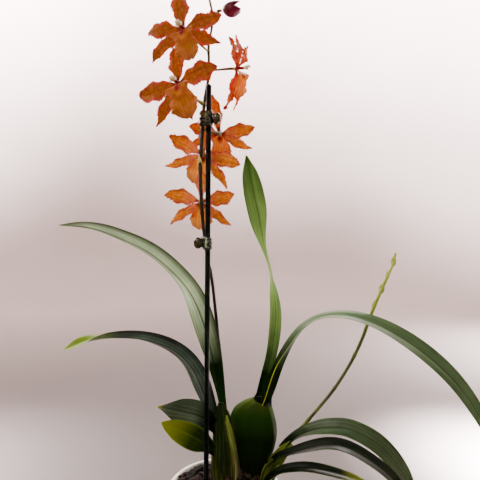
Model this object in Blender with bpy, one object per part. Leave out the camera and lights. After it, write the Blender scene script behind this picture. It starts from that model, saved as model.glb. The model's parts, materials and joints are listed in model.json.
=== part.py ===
"""A cambria orchid in bloom, standing in its pot of bark, with its stake and clips.

Metres in Blender, +Z up. The origin is the middle of the pot's flat underside.
X runs to the right and Y away from someone who looks at the plant from the front.
All sizes below are in millimetres and are turned to metres when a mesh is made.
"""
import math
import random

import bmesh
import bpy
import numpy as np

MM = 0.001

# Driving sizes
POT_HEIGHT = 110.0
POT_RIM_RADIUS = 60.0
POT_FOOT_RADIUS = 43.0
POT_WALL = 1.8
POT_FLOOR = 3.0
RIM_BAND = 13.0
RIM_STEP = 2.2
DRAIN_RADIUS = 5.0
DRAIN_RING = 26.0
DRAIN_COUNT = 5
BARK_LEVEL = 106.0
BARK_MOUND = 3.5
BARK_HEAP = 6.0
BARK_HEAP_REACH = 18.0
BARK_HEAP_MIDDLE = (24.0, 3.0)
CHIP_COUNT = 38
CHIP_SPACING = 11.0
CHIP_SINK = 2.0
CHIP_CLEARANCE = 2.5
GAP = 0.3
BLADE = 0.8
PETAL = 0.7
STAKE_RADIUS = 2.7
STAKE_FOOT = (-19.7, -18.2, 30.0)
STAKE_TOP = (-14.2, -6.0, 533.0)
CLIP_WALL = 1.3
CLIP_TOOTH = 0.8
HUB_RADIUS = 3.0
HUB_BACK = -3.0
HUB_FRONT = 0.8
HOOK = 2.4

# The flower stem's centre line, from the bark to its last bud
STEM_ROUTE = [
    (5, 16, 88), (4, 15, 125), (0, 13.5, 172), (-2.5, 12, 213), (-5.2, 9, 255),
    (-10.1, 4.5, 311), (-12.9, -0.5, 338), (-15.9, -5.2, 354), (-19.6, -6.6, 380),
    (-22.2, -8, 415), (-23.2, -8, 451), (-22.0, -8, 472), (-20.0, -7.8, 498),
    (-19.3, -5.4, 512), (-17.6, -2.4, 525), (-14.6, -0.4, 543), (-14.4, 0, 558),
    (-14.8, 0, 569), (-12.5, 0, 583), (-10.2, 0, 597), (-10.9, 0, 605),
    (-13.4, 0, 617), (-13.0, 0.5, 628), (-10.4, 1, 639)]
STEM_RADII = [(0, 2.2), (0.3, 1.9), (0.52, 1.65), (0.6, 1.95), (0.7, 2.0), (0.76, 1.7), (0.84, 1.45),
              (1, 1.2)]


def clear_scene():
    for item in list(bpy.data.objects):
        bpy.data.objects.remove(item, do_unlink=True)


def finish(name, colour, roughness):
    """A plain painted look: sRGB hex colour and roughness."""
    look = bpy.data.materials.new(name)
    look.use_nodes = True
    shader = look.node_tree.nodes["Principled BSDF"]
    levels = [int(colour[i:i + 2], 16) / 255 for i in (0, 2, 4)]
    linear = [c / 12.92 if c <= 0.04045 else ((c + 0.055) / 1.055) ** 2.4 for c in levels]
    shader.inputs["Base Color"].default_value = (*linear, 1)
    shader.inputs["Roughness"].default_value = roughness
    shader.inputs["Metallic"].default_value = 0
    return look


# Curves and profiles

def unit(vector):
    return vector / np.linalg.norm(vector, axis=-1, keepdims=True)


def bend(values, place):
    """A smooth value through evenly numbered control values, read at a place between them."""
    values = np.asarray(values, float)
    last = len(values) - 1
    i = int(min(max(math.floor(place), 0), last - 1))
    u = place - i
    a = values[max(i - 1, 0)]
    b = values[i]
    c = values[i + 1]
    d = values[min(i + 2, last)]
    return 0.5 * (2 * b + (c - a) * u + (2 * a - 5 * b + 4 * c - d) * u ** 2
                  + (3 * b - a - 3 * c + d) * u ** 3)


def read(stops, t):
    """The width, angle or way that a short list of (place, value) stops gives at t."""
    places = [stop[0] for stop in stops]
    i = int(np.clip(np.searchsorted(places, t, side="right") - 1, 0, len(stops) - 2))
    u = (t - places[i]) / (places[i + 1] - places[i])
    return bend([stop[1] for stop in stops], i + u)


def smooth_route(route, steps=12):
    """Close points along one smooth curve through the route's own points."""
    return np.array([bend(route, i / steps) for i in range((len(route) - 1) * steps + 1)])


def stations(route, distances):
    """Points and directions at distances along a route's smooth curve."""
    dense = smooth_route(route)
    lengths = np.concatenate([[0], np.cumsum(np.linalg.norm(np.diff(dense, axis=0), axis=1))])
    points = np.stack([np.interp(distances, lengths, dense[:, k]) for k in range(3)], axis=1)
    slopes = np.gradient(dense, axis=0)
    ways = np.stack([np.interp(distances, lengths, slopes[:, k]) for k in range(3)], axis=1)
    return points, unit(ways)


def route_length(route):
    dense = smooth_route(route)
    return float(np.sum(np.linalg.norm(np.diff(dense, axis=0), axis=1)))


def route_at_height(route, height):
    """Where a rising route passes a height."""
    dense = smooth_route(route)
    return np.array([np.interp(height, dense[:, 2], dense[:, k]) for k in range(2)] + [height])


# Closed shapes, each a pair of points and faces

def rings_to_shape(rings):
    """Closed skin over a stack of rings with flat ends; each ring is an array of points."""
    sides = len(rings[0])
    points = np.concatenate(rings)
    faces = [tuple(reversed(range(sides)))]
    for i in range(len(rings) - 1):
        for k in range(sides):
            a = i * sides + k
            b = i * sides + (k + 1) % sides
            faces += [(a, b, b + sides), (a, b + sides, a + sides)]
    faces.append(tuple(range((len(rings) - 1) * sides, len(rings) * sides)))
    return points, faces


def tube(points, ways, radii, sides, flat=1.0):
    """A round rod, or one that is flattened along the way that starts along Y."""
    guide = np.array((1.0, 0.0, 0.0))
    rings = []
    for point, way, radius in zip(points, ways, radii):
        wide = unit(guide - way * np.dot(guide, way))
        guide = wide
        thin = np.cross(way, wide)
        turns = [2 * math.pi * k / sides for k in range(sides)]
        rings.append(np.array([point + radius * (math.cos(a) * wide + flat * math.sin(a) * thin)
                               for a in turns]))
    return rings_to_shape(rings)


def rod(route, stops, sides, count, flat=1.0):
    """A tube along a route, with its radius read from stops."""
    length = route_length(route)
    distances = np.linspace(0, length, count)
    points, ways = stations(route, distances)
    radii = [read(stops, d / length) for d in distances]
    return tube(points, ways, radii, sides, flat)


def turned(profile, sides, centre=(0.0, 0.0)):
    """A turned solid from (radius, height) points that run up its outside from low to high."""
    turns = [2 * math.pi * k / sides for k in range(sides)]
    rings = [np.array([(centre[0] + r * math.cos(a), centre[1] + r * math.sin(a), z)
                       for a in turns]) for r, z in profile]
    return rings_to_shape(rings)


def blade(grid, thickness):
    """A thin closed blade: two faces split alike, a thickness apart, and a rim."""
    rows, columns, _ = grid.shape
    normals = unit(np.cross(np.gradient(grid, axis=0), np.gradient(grid, axis=1)))
    points = np.concatenate([(grid + normals * thickness / 2).reshape(-1, 3),
                             (grid - normals * thickness / 2).reshape(-1, 3)])
    under = rows * columns
    faces = []
    for i in range(rows - 1):
        for j in range(columns - 1):
            a = i * columns + j
            b = a + columns
            for tri in ((a, b, b + 1), (a, b + 1, a + 1)):
                faces.append(tri)
                faces.append(tuple(p + under for p in reversed(tri)))
    edge = [j for j in range(columns)]
    edge += [i * columns + columns - 1 for i in range(1, rows)]
    edge += [(rows - 1) * columns + j for j in range(columns - 2, -1, -1)]
    edge += [i * columns for i in range(rows - 2, 0, -1)]
    for a, b in zip(edge, edge[1:] + edge[:1]):
        faces += [(a, b, b + under), (a, b + under, a + under)]
    return points, faces


def ball(centre, sizes, sides, levels):
    """A round lump with its half sizes along X, Y and Z."""
    rings = []
    for i in range(levels + 1):
        lift = math.pi * (0.06 + 0.88 * i / levels) - math.pi / 2
        turns = [2 * math.pi * k / sides for k in range(sides)]
        rings.append(np.array([(centre[0] + sizes[0] * math.cos(lift) * math.cos(a),
                                centre[1] + sizes[1] * math.cos(lift) * math.sin(a),
                                centre[2] + sizes[2] * math.sin(lift)) for a in turns]))
    return rings_to_shape(rings)


# Objects

def place(name, shape, look, group=None):
    mesh = bpy.data.meshes.new(name)
    points, faces = shape
    mesh.from_pydata([tuple(p * MM) for p in np.asarray(points, float)], [], faces)
    mesh.materials.append(look)
    item = bpy.data.objects.new(name, mesh)
    (group or bpy.context.scene.collection).objects.link(item)
    return item


def combine(item, shapes, operation, solver):
    """Join shapes to an object, or cut them from it, and drop them afterwards."""
    group = bpy.data.collections.new(item.name + "_extras")
    bpy.context.scene.collection.children.link(group)
    for i, shape in enumerate(shapes):
        place(f"{item.name}_extra_{i}", shape, item.data.materials[0], group)
    change = item.modifiers.new("combine", "BOOLEAN")
    change.operation = operation
    change.operand_type = "COLLECTION"
    change.collection = group
    change.solver = solver
    bpy.context.view_layer.update()
    seen = item.evaluated_get(bpy.context.evaluated_depsgraph_get())
    mesh = bpy.data.meshes.new_from_object(seen)
    item.modifiers.remove(change)
    item.data = mesh
    for extra in list(group.objects):
        bpy.data.objects.remove(extra, do_unlink=True)
    bpy.data.collections.remove(group)
    return item


def drop_scraps(item):
    """Keep an object's largest body and remove loose scraps left by a cut."""
    mesh = bmesh.new()
    mesh.from_mesh(item.data)
    unseen = set(mesh.verts)
    bodies = []
    while unseen:
        body = []
        waiting = [unseen.pop()]
        while waiting:
            vertex = waiting.pop()
            body.append(vertex)
            near = {link.other_vert(vertex) for link in vertex.link_edges} & unseen
            unseen -= near
            waiting += near
        bodies.append(body)
    bodies.sort(key=len)
    for body in bodies[:-1]:
        bmesh.ops.delete(mesh, geom=body, context="VERTS")
    mesh.to_mesh(item.data)
    mesh.free()


def make(name, shapes, look, cuts=(), solver="EXACT", angle=50):
    """One object: its shapes fused into one body, with its holes cut."""
    item = place(name, shapes[0], look)
    if len(shapes) > 1:
        combine(item, shapes[1:], "UNION", solver)
    if cuts:
        combine(item, list(cuts), "DIFFERENCE", solver)
    drop_scraps(item)
    item.data.shade_smooth()
    item.data.set_sharp_from_angle(angle=math.radians(angle))
    return item


# Leaves

def leaf_grid(leaf, start, stop, count):
    """Points of a folded strap leaf along its keel: hints are the ways its upper side faces,
    and fold is how steeply each half rises from the keel, in degrees."""
    route = leaf["route"]
    length = route_length(route)
    distances = np.linspace(start, stop, count)
    points, ways = stations(route, distances)
    grid = []
    for point, way, distance in zip(points, ways, distances):
        t = distance / length
        hint = read(leaf["hints"], t)
        face = unit(hint - way * np.dot(hint, way))
        side = np.cross(way, face)
        half = leaf["half_width"] * max(read(leaf["widths"], t), 0.03)
        rise = math.radians(read(leaf["fold"], t))
        row = []
        for s in (-1.0, -0.55, 0.0, 0.55, 1.0):
            out = side * s * math.cos(rise) + face * abs(s) * math.sin(rise)
            row.append(point + out * half)
        grid.append(row)
    return np.array(grid)


LEAF_WIDTHS = [(0, 0.5), (0.2, 0.6), (0.34, 0.62), (0.5, 0.45), (0.62, 0.5), (0.76, 0.92), (0.86, 1.0),
               (0.94, 0.72), (1, 0.08)]
STRAP_WIDTHS = [(0, 0.5), (0.12, 0.56), (0.3, 0.85), (0.6, 1.0), (0.84, 0.8), (0.95, 0.42), (1, 0.06)]
ARCH_WIDTHS = [(0, 0.62), (0.1, 0.85), (0.2, 0.8), (0.35, 0.82), (0.6, 1.0), (0.85, 0.82), (0.96, 0.4),
               (1, 0.06)]
SHORT_WIDTHS = [(0, 0.25), (0.25, 0.5), (0.42, 0.95), (0.6, 1.0), (0.78, 0.8), (0.93, 0.4), (1, 0.08)]
SHARP_WIDTHS = [(0, 0.25), (0.25, 0.5), (0.42, 0.95), (0.57, 1.0), (0.72, 0.84), (0.84, 0.48), (0.93, 0.2),
                (1, 0.05)]


def leaf_pieces(leaf):
    """A leaf's free blade and the stub below its joint, which its shoot or bulb carries."""
    stub = leaf_grid(leaf, 0.0, leaf["joint"] - GAP, 3)
    free = leaf_grid(leaf, leaf["joint"], route_length(leaf["route"]), leaf["spans"])
    return blade(free, BLADE), blade(stub, BLADE)


BULB_LEAVES = {
    "leaf_upright": dict(
        route=[(37, 14, 192), (40, 13.5, 206), (45, 12.5, 228), (51, 10.5, 256), (55, 9, 289),
               (54.3, 8, 311), (50.3, 8, 340), (43.3, 7, 370), (36.4, 6, 402), (29.4, 4, 433),
               (23.4, 2, 463)],
        hints=[(0, (-0.3, -0.95, 0)), (0.25, (0.1, -1, 0)), (0.42, (-0.3, -0.95, 0)),
               (0.56, (-1, -0.15, 0)), (0.68, (-0.8, -0.6, 0)), (0.8, (-0.15, -1, 0.1)), (1, (0, -1, 0.1))],
        fold=[(0, 34), (0.3, 30), (0.5, 14), (0.65, 22), (0.8, 26), (1, 22)],
        half_width=11.5, widths=LEAF_WIDTHS, joint=14, spans=15),
    "leaf_arch_right": dict(
        route=[(43, 5, 190), (49.5, 4, 203.5), (55, 2, 219.5), (63, -1, 245.5), (73.5, -5, 270.5),
               (82, -8, 284.5), (92, -11, 293.5), (104, -13, 298.5), (118, -16, 300), (136, -19, 298),
               (160, -22, 289.5),
               (189.5, -26, 272.5), (218, -30, 250), (239.3, -34, 226.5), (258, -37, 197), (272, -40, 162)],
        hints=[(0, (-0.95, -0.1, 0.2)), (0.2, (-0.9, -0.1, 0.4)), (0.34, (-0.3, -0.05, 0.95)),
               (0.5, (0.15, -0.45, 0.9)), (0.65, (0.3, -0.65, 0.7)), (0.8, (0.35, -0.75, 0.5)),
               (1, (0.4, -0.85, 0.3))],
        fold=[(0, 64), (0.15, 60), (0.25, 28), (0.35, 14), (0.5, 14), (1, 14)],
        half_width=12.0, widths=ARCH_WIDTHS, joint=17, spans=19)}

LEFT_LEAVES = {
    "leaf_left_high": dict(
        route=[(-3, 1, 184), (-5, 1, 203), (-10.6, 1, 243), (-20.3, 2, 283.6), (-33.4, 2, 316.8),
               (-50, 1, 339), (-76.5, 0, 362), (-107, -2, 378), (-137, -4, 389), (-168, -7, 392)],
        hints=[(0, (0.7, 0.7, 0)), (0.2, (0.25, 0.95, 0)), (0.34, (0.05, 0.98, 0.15)),
               (0.5, (0.3, 0.75, 0.5)), (0.75, (0.15, 0.6, 0.75)), (1, (0, 0.4, 0.9))],
        fold=[(0, 44), (0.2, 26), (0.35, 16), (0.6, 22), (1, 18)],
        half_width=14.0, widths=STRAP_WIDTHS, joint=24, spans=17),
    "leaf_left_mid": dict(
        route=[(-5, -3, 160), (-10, -3, 180), (-15.5, -3, 196), (-23, -3, 217), (-32.4, -4, 239),
               (-43.4, -7, 254.5), (-60.4, -11, 267), (-85, -15, 275.5), (-115, -19, 278), (-139, -23, 275),
               (-160, -26, 267.5)],
        hints=[(0, (0.5, 0.85, 0.2)), (0.22, (0.2, 0.95, 0.2)), (0.4, (0.3, 0.8, 0.45)),
               (0.6, (0.15, 0.7, 0.7)), (0.8, (0, 0.4, 0.9)), (1, (-0.2, -0.8, 0.6))],
        fold=[(0, 40), (0.25, 24), (0.5, 20), (1, 18)],
        half_width=13.5, widths=STRAP_WIDTHS, joint=41, spans=14),
    "leaf_left_dark": dict(
        route=[(-3, -3, 166), (-13, -3.5, 180), (-27, -5, 190), (-44, -10, 197), (-68, -18, 205)],
        hints=[(0, (0.3, -0.95, 0.1)), (1, (0.2, -0.95, 0.1))],
        fold=[(0, 20), (1, 10)],
        half_width=16.0, widths=SHARP_WIDTHS, joint=20, spans=9),
    "leaf_left_yellow": dict(
        route=[(-1, -6, 141), (-13, -7, 155), (-27, -9.8, 166), (-43, -16.5, 178), (-63, -26, 192)],
        hints=[(0, (0.1, -0.95, 0)), (1, (0.2, -0.95, 0.1))],
        fold=[(0, 14), (1, 12)],
        half_width=13.5, widths=SHORT_WIDTHS, joint=23, spans=9)}

RIGHT_LEAVES = {
    "leaf_right_upper": dict(
        route=[(62, -4, 152), (70, -3, 160.5), (81, -2, 168), (97, -4, 174.5), (114, -8, 178.5),
               (132, -12, 178), (154, -18, 169), (172, -24, 154), (186, -28, 134), (197, -31, 110)],
        hints=[(0, (-0.5, -0.5, 0.7)), (0.3, (-0.1, -0.6, 0.8)), (0.55, (0.15, -0.8, 0.6)),
               (1, (0.4, -0.85, 0.3))],
        fold=[(0, 40), (0.3, 20), (1, 14)],
        half_width=11.0, widths=STRAP_WIDTHS, joint=16, spans=12),
    "leaf_right_mid": dict(
        route=[(46, -12, 138), (57, -13, 148), (69, -15, 153.5), (87.6, -19, 161), (107, -24, 167),
               (124.6, -29, 166.5), (144, -34, 158), (163, -39, 145.5), (177, -43, 131), (189, -45, 114)],
        hints=[(0, (-0.5, -0.4, 0.8)), (0.3, (-0.1, -0.4, 0.9)), (0.6, (0.25, -0.45, 0.85)),
               (1, (0.5, -0.7, 0.4))],
        fold=[(0, 40), (0.3, 24), (1, 18)],
        half_width=9.0, widths=STRAP_WIDTHS, joint=20, spans=12),
    "leaf_right_low": dict(
        route=[(41, -13, 118), (50, -17, 130), (60, -20, 137.5), (76, -25, 143), (91, -29, 144.5),
               (108, -34, 143.5), (125, -39, 141), (138, -43, 138), (150, -46, 134)],
        hints=[(0, (-0.5, -0.7, 0.6)), (0.3, (-0.1, -0.5, 0.9)), (0.7, (0.2, -0.4, 0.9)),
               (1, (0.3, -0.5, 0.8))],
        fold=[(0, 36), (0.3, 22), (1, 16)],
        half_width=6.8, widths=STRAP_WIDTHS, joint=18, spans=9)}


# Blooms

PETAL_WIDTHS = [(0, 0.14), (0.15, 0.42), (0.35, 0.88), (0.55, 1.0), (0.72, 0.9), (0.86, 0.58),
                (0.95, 0.28), (1, 0.07)]
BLUNT_WIDTHS = [(0, 0.14), (0.15, 0.4), (0.35, 0.84), (0.55, 1.0), (0.72, 0.9), (0.86, 0.64),
                (0.95, 0.38), (1, 0.12)]
SEPAL_WIDTHS = [(0, 0.18), (0.15, 0.46), (0.34, 0.88), (0.52, 1.0), (0.7, 0.86), (0.85, 0.48),
                (0.95, 0.22), (1, 0.06)]
# The petals with a blunt, rolled end
BLUNT_PETALS = (("bloom_a", 2), ("bloom_b", 2))
PETAL_PLACES = (1, 2)
PETAL_ACROSS = (-1.0, -0.55, 0.0, 0.55, 1.0)
SEPAL_ACROSS = (-1.0, -0.35, 0.35, 1.0)
LIP_WIDTHS = [(0, 0.2), (0.1, 0.5), (0.2, 0.92), (0.34, 0.72), (0.5, 0.9), (0.68, 1.0), (0.84, 0.8),
              (0.94, 0.5), (1, 0.2)]

# Each bloom: where its hub is, the way it faces, its lean, the reach of its lip, and its
# five tepals (dorsal sepal, two petals, two lateral sepals), each as the angle seen from
# the bloom's face, the length, the half width and how far the tip sweeps forward.
BLOOMS = {
    "bloom_a": dict(
        hub=(-37.0, -27, 579.5), facing=(-0.3, -0.95, 0.05), lean=18, lip=32,
        tepals=[(101, 45, 8.8, -7), (16, 38, 8.4, -4), (176, 40, 8.0, -3), (-25, 39, 6.4, -3),
                (217, 44, 6.8, 0)]),
    "bloom_b": dict(
        hub=(-43.5, -20, 531), facing=(-0.3, -0.95, 0.0), lean=22, lip=37,
        tepals=[(93, 36, 8.4, 1), (19, 43, 10.2, 3), (195, 46, 9.8, -3), (-70, 36, 6.0, -8),
                (238, 49, 6.2, -5)]),
    "bloom_c": dict(
        hub=(14.5, 0, 549), facing=(0.84, -0.52, -0.16), lean=0, lip=29,
        tepals=[(84, 35, 5.4, -9), (52, 36, 4.8, -5), (128, 33, 5.4, 1), (-72, 42, 5.2, -4),
                (256, 43, 6.6, 0)]),
    "bloom_d": dict(
        hub=(-4.9, 21, 487), facing=(-0.1, 0.98, 0.12), lean=-8, lip=28,
        tepals=[(80, 41, 6.4, 2), (15, 33, 7.4, 0), (171, 38, 7.6, 0), (-22, 37, 4.4, -2),
                (206, 38, 5.0, -2)]),
    "bloom_e": dict(
        hub=(-21.8, 13, 465), facing=(0.1, 0.98, 0.1), lean=20, lip=33,
        tepals=[(97, 36, 6.4, 2), (28, 40, 8.0, 0), (194, 41, 8.2, 0), (-19, 42, 5.2, -3),
                (232, 44, 5.2, -3)]),
    "bloom_f": dict(
        hub=(-24, 13, 415.5), facing=(0, 0.99, 0.1), lean=2, lip=31,
        tepals=[(92, 36, 5.4, 3), (14, 39, 8.0, 0), (170, 36, 8.0, 0), (-33, 40, 5.0, -3),
                (221, 40, 5.0, -3)])}

# Buds: where the base is and the way each points
BUDS = {
    "bud_open": dict(base=(-0.8, 0, 606), facing=(0.93, 0, 0.15)),
    "bud_closed": dict(base=(-20, 2, 631), facing=(-0.6, 0.1, 0.8), length=13, radius=3.9),
    "bud_tip": dict(base=(-10.33, 1.02, 639.35), facing=(0.25, 0.05, 0.97), length=9, radius=2.6)}


def bloom_frame(bloom):
    """Right, up and forward for a bloom, turned by its lean."""
    forward = unit(np.array(bloom["facing"], float))
    up = unit(np.array((0, 0, 1.0)) - forward * forward[2])
    right = np.cross(up, forward)
    lean = math.radians(bloom.get("lean", 0))
    leaned_up = up * math.cos(lean) - right * math.sin(lean)
    leaned_right = right * math.cos(lean) + up * math.sin(lean)
    return right, up, forward, leaned_right, leaned_up


def tepal_grid(length, half, sweep, widths, phase, across, count):
    """A waved tepal that lies along +X from the hub, its face to +Z."""
    grid = []
    for i in range(count):
        t = i / (count - 1)
        reach = 1.8 + t * (length - 1.8)
        lift = -1.0 + sweep * t ** 1.6 + 2.0 * math.sin(math.pi * t)
        width = half * read(widths, t)
        hook = HOOK * math.sin(5 * phase) * max(0.0, (t - 0.7) / 0.3) ** 2
        row = []
        for s in across:
            crest = 1.5 * math.sin(9.5 * t + phase + (2.2 if s > 0 else 0))
            trim = 1 + 0.13 * math.sin(17 * t + phase * 2 + s)
            wave = crest * s * s * min(1.0, 2.2 * t)
            row.append((reach, s * width * trim + hook, lift + wave - 0.1 * width * s * s))
        grid.append(row)
    return np.array(grid)


def lip_grid(reach):
    """The broad lip: a short claw forward, side lobes, then a wide scalloped lobe down."""
    route = [(0, -1.7, HUB_FRONT + GAP), (0, -2.6, 4.5), (0, -6, 7.6), (0, -0.45 * reach, 8.6),
             (0, -0.75 * reach, 7.0), (0, -reach, 3.0)]
    length = route_length(route)
    count = 8
    points, ways = stations(route, np.linspace(0, length, count))
    half = 0.39 * reach
    grid = []
    for i in range(count):
        t = i / (count - 1)
        outward = np.array((0, ways[i][2], -ways[i][1]))
        width = half * read(LIP_WIDTHS, t)
        row = []
        for s in (-1.0, -0.66, -0.33, 0.0, 0.33, 0.66, 1.0):
            scallop = 0.9 * s * s * math.sin(15 * t + 3 * s) * min(1.0, 2 * t)
            curl = -1.6 * s * s * math.sin(math.pi * t)
            trim = 1 - 0.16 * (abs(s) < 0.2) * (t > 0.9)
            row.append(points[i] * np.array((1, trim, 1)) + np.array((s * width, 0, 0))
                       + outward * (scallop + curl))
        grid.append(row)
    return np.array(grid)


def column_shape():
    """The column: a slim neck that ends in two small wings and a rounded cap."""
    route = [(0, 0.9, HUB_FRONT + GAP), (0, 1.0, 4.8), (0, 1.7, 9.0), (0, 2.8, 12.6)]
    stops = [(0, 1.8), (0.35, 1.8), (0.62, 2.0), (0.8, 2.3), (0.93, 1.8), (1, 0.7)]
    return rod(route, stops, 6, 6, flat=0.8)


def into_world(shape, hub, right, up, forward):
    points, faces = shape
    basis = np.stack([right, up, forward])
    return np.asarray(points) @ basis + np.array(hub), faces


def make_bloom(name, bloom, looks):
    right, up, forward, leaned_right, leaned_up = bloom_frame(bloom)
    hub = bloom["hub"]
    core = turned([(1.6, HUB_BACK), (HUB_RADIUS, HUB_BACK + 1.4), (HUB_RADIUS, HUB_FRONT)], 7)
    shapes = [into_world(core, hub, right, up, forward)]
    for i, (angle, length, half, sweep) in enumerate(bloom["tepals"]):
        turn = math.radians(angle)
        along = right * math.cos(turn) + up * math.sin(turn)
        side = np.cross(forward, along)
        petal = BLUNT_WIDTHS if (name, i) in BLUNT_PETALS else PETAL_WIDTHS
        look = (petal, 1.3 * i + hub[2], PETAL_ACROSS, 7)
        if i not in PETAL_PLACES:
            look = (SEPAL_WIDTHS, 1.3 * i + hub[2], SEPAL_ACROSS, 6)
        grid = tepal_grid(length, half, sweep, *look)
        shapes.append(into_world(blade(grid, PETAL), hub, along, side, forward))
    make(name + "_tepals", shapes, looks["petal"], solver="MANIFOLD")
    lip = blade(lip_grid(bloom["lip"]), PETAL)
    make(name + "_lip", [into_world(lip, hub, leaned_right, leaned_up, forward)], looks["lip"])
    column = into_world(column_shape(), hub, leaned_right, leaned_up, forward)
    make(name + "_column", [column], looks["column"])


def bud_grid(turn, length, half, spread, close):
    """One thick sepal of an opening bud, curved like a claw."""
    route = [(1.1, 0, 0.6), (spread * 0.8, 0, 0.25 * length), (spread, 0, 0.62 * length),
             (spread * close, 0, length)]
    count = 5
    points, _ = stations(route, np.linspace(0, route_length(route), count))
    grid = []
    for i in range(count):
        t = i / (count - 1)
        width = half * read([(0, 0.2), (0.35, 1.0), (0.7, 0.8), (1, 0.1)], t)
        row = []
        for s in (-1.0, 0.0, 1.0):
            p = points[i] + np.array((-0.45 * width * s * s, s * width, 0))
            row.append((p[0] * math.cos(turn) - p[1] * math.sin(turn),
                        p[0] * math.sin(turn) + p[1] * math.cos(turn), p[2]))
        grid.append(row)
    return np.array(grid)


def make_buds(look):
    for name, bud in BUDS.items():
        right, up, forward, _, _ = bloom_frame(bud)
        base = bud["base"]
        if name == "bud_open":
            shapes = [ball((0, 0, 2.3), (2.6, 2.6, 2.2), 6, 3)]
            shapes += [blade(bud_grid(math.radians(turn), length, half, spread, close), 1.2)
                       for turn, length, half, spread, close in
                       ((90, 19, 4.8, 6.6, 0.9), (215, 18.5, 5.6, 7.8, 0.55), (325, 18.5, 5.6, 7.8, 0.55))]
        else:
            stops = [(0, 0.35), (0.15, 0.7), (0.45, 1.0), (0.75, 0.78), (0.93, 0.4), (1, 0.12)]
            stops = [(t, w * bud["radius"]) for t, w in stops]
            shapes = [rod([(0, 0, 0), (0.3, 0, bud["length"] / 2), (0, 0, bud["length"])], stops, 8, 7)]
        make(name, [into_world(s, base, right, up, forward) for s in shapes], look)


# Stems

def stalk(start, end, facing, radius=1.2, lead=9.0):
    """A flower stalk from the stem to just behind a hub or a bud."""
    forward = unit(np.array(facing, float))
    goal = np.array(end, float) - forward * (GAP + 0.15)
    start = np.array(start, float)
    route = [start, start + forward * 5 + (goal - start) * 0.12, goal - forward * lead * 0.5, goal]
    stops = [(0, radius * 0.8), (0.5, radius), (1, radius * 1.25)]
    return rod([tuple(p) for p in route], stops, 5, 5)


def bract(foot, tip, face, half, cup=0.6, thickness=0.7):
    """A small boat-shaped bract that clasps the stem at its foot."""
    foot = np.array(foot, float)
    tip = np.array(tip, float)
    way = unit(tip - foot)
    face = unit(np.array(face, float) - way * np.dot(face, way))
    side = np.cross(way, face)
    grid = []
    for t in (0.0, 0.45, 1.0):
        width = half * read([(0, 0.8), (0.45, 1.0), (1, 0.1)], t)
        grid.append([foot + (tip - foot) * t + side * s * width + face * (abs(s) * width * cup)
                     for s in (-1.0, 0.0, 1.0)])
    return blade(np.array(grid), thickness)


# Where each bloom's or bud's stalk leaves the stem, by height
STALK_HEIGHTS = {"bloom_a": 566, "bloom_b": 512, "bloom_c": 548, "bloom_d": 488, "bloom_e": 461,
                 "bloom_f": 404, "bud_open": 601, "bud_closed": 620}
BRACTED = ("bloom_b", "bloom_c", "bud_open")
# The thickness of the bract that clasps such a stalk
CLASP_RADII = [(0, 1.3), (0.45, 1.9), (0.8, 1.3), (1, 0.35)]


def make_flower_stem(look):
    main = rod(STEM_ROUTE, STEM_RADII, 6, 34)
    shapes = [main]
    for name, height in STALK_HEIGHTS.items():
        start = route_at_height(STEM_ROUTE, height)
        if name in BLOOMS:
            forward = unit(np.array(BLOOMS[name]["facing"], float))
            end = np.array(BLOOMS[name]["hub"]) + forward * HUB_BACK
            facing = BLOOMS[name]["facing"]
        else:
            end = np.array(BUDS[name]["base"], float)
            facing = BUDS[name]["facing"]
        shapes.append(stalk(start, end, facing))
        if name in BRACTED:
            out = unit(end - start)
            tip = start + out * 8 + np.array((0, 0, 1.0))
            low = start - np.array((0, 0, 0.7))
            middle = (low + tip) / 2 - np.array((0, 0, 0.5))
            shapes.append(rod([tuple(low), tuple(middle), tuple(tip)], CLASP_RADII, 6, 6))
    clasp = route_at_height(STEM_ROUTE, 450)
    foot, tip = clasp + np.array((-0.6, -0.6, 0)), clasp + np.array((-1, -3, 13))
    shapes.append(bract(foot, tip, (0.4, 1, 0), 2.4))
    make("flower_stem", shapes, look, solver="MANIFOLD")


SPIKE_ROUTE = [(48, 9, 92), (50, 9, 112), (56, 8, 136), (65.5, 6, 155), (77.7, 6, 166), (93, 8, 182),
               (116.5, 10, 210), (135, 11, 239), (147.5, 12, 265), (154, 12, 284), (160.5, 12, 302.5),
               (168, 11, 322), (174.5, 10, 338), (179, 9, 350), (181, 8, 362)]

SPIKE_BRACTS = (286, 304, 321, 337, 351)


def make_young_spike(look):
    shapes = [rod(SPIKE_ROUTE, [(0, 2.3), (0.4, 1.9), (0.75, 2.0), (1, 1.2)], 6, 17)]
    for i, height in enumerate(SPIKE_BRACTS):
        point = route_at_height(SPIKE_ROUTE, height)
        side = 1 if i % 2 else -1
        tip = point + np.array((3.6 + 2.6 * side - 0.4 * i, 2.0 * side, 10.5 - 0.5 * i))
        shapes.append(bract(point - np.array((0.4, 0, 3)), tip, (-0.5 * side, 1, 0.2), 3.3 - 0.2 * i, 0.8))
    make("young_spike", shapes, look, solver="MANIFOLD")


def stake_point(height):
    foot = np.array(STAKE_FOOT)
    top = np.array(STAKE_TOP)
    return foot + (top - foot) * (height - foot[2]) / (top[2] - foot[2])


def make_stake(look):
    foot = np.array(STAKE_FOOT)
    top = np.array(STAKE_TOP)
    way = unit(top - foot)
    ends = [foot, foot + way * 4, top - way * 2.6, top - way * 0.9, top]
    radii = [1.0, STAKE_RADIUS, STAKE_RADIUS, STAKE_RADIUS * 0.75, STAKE_RADIUS * 0.25]
    make("stake", [tube(ends, [way] * 5, radii, 14)], look)


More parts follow.
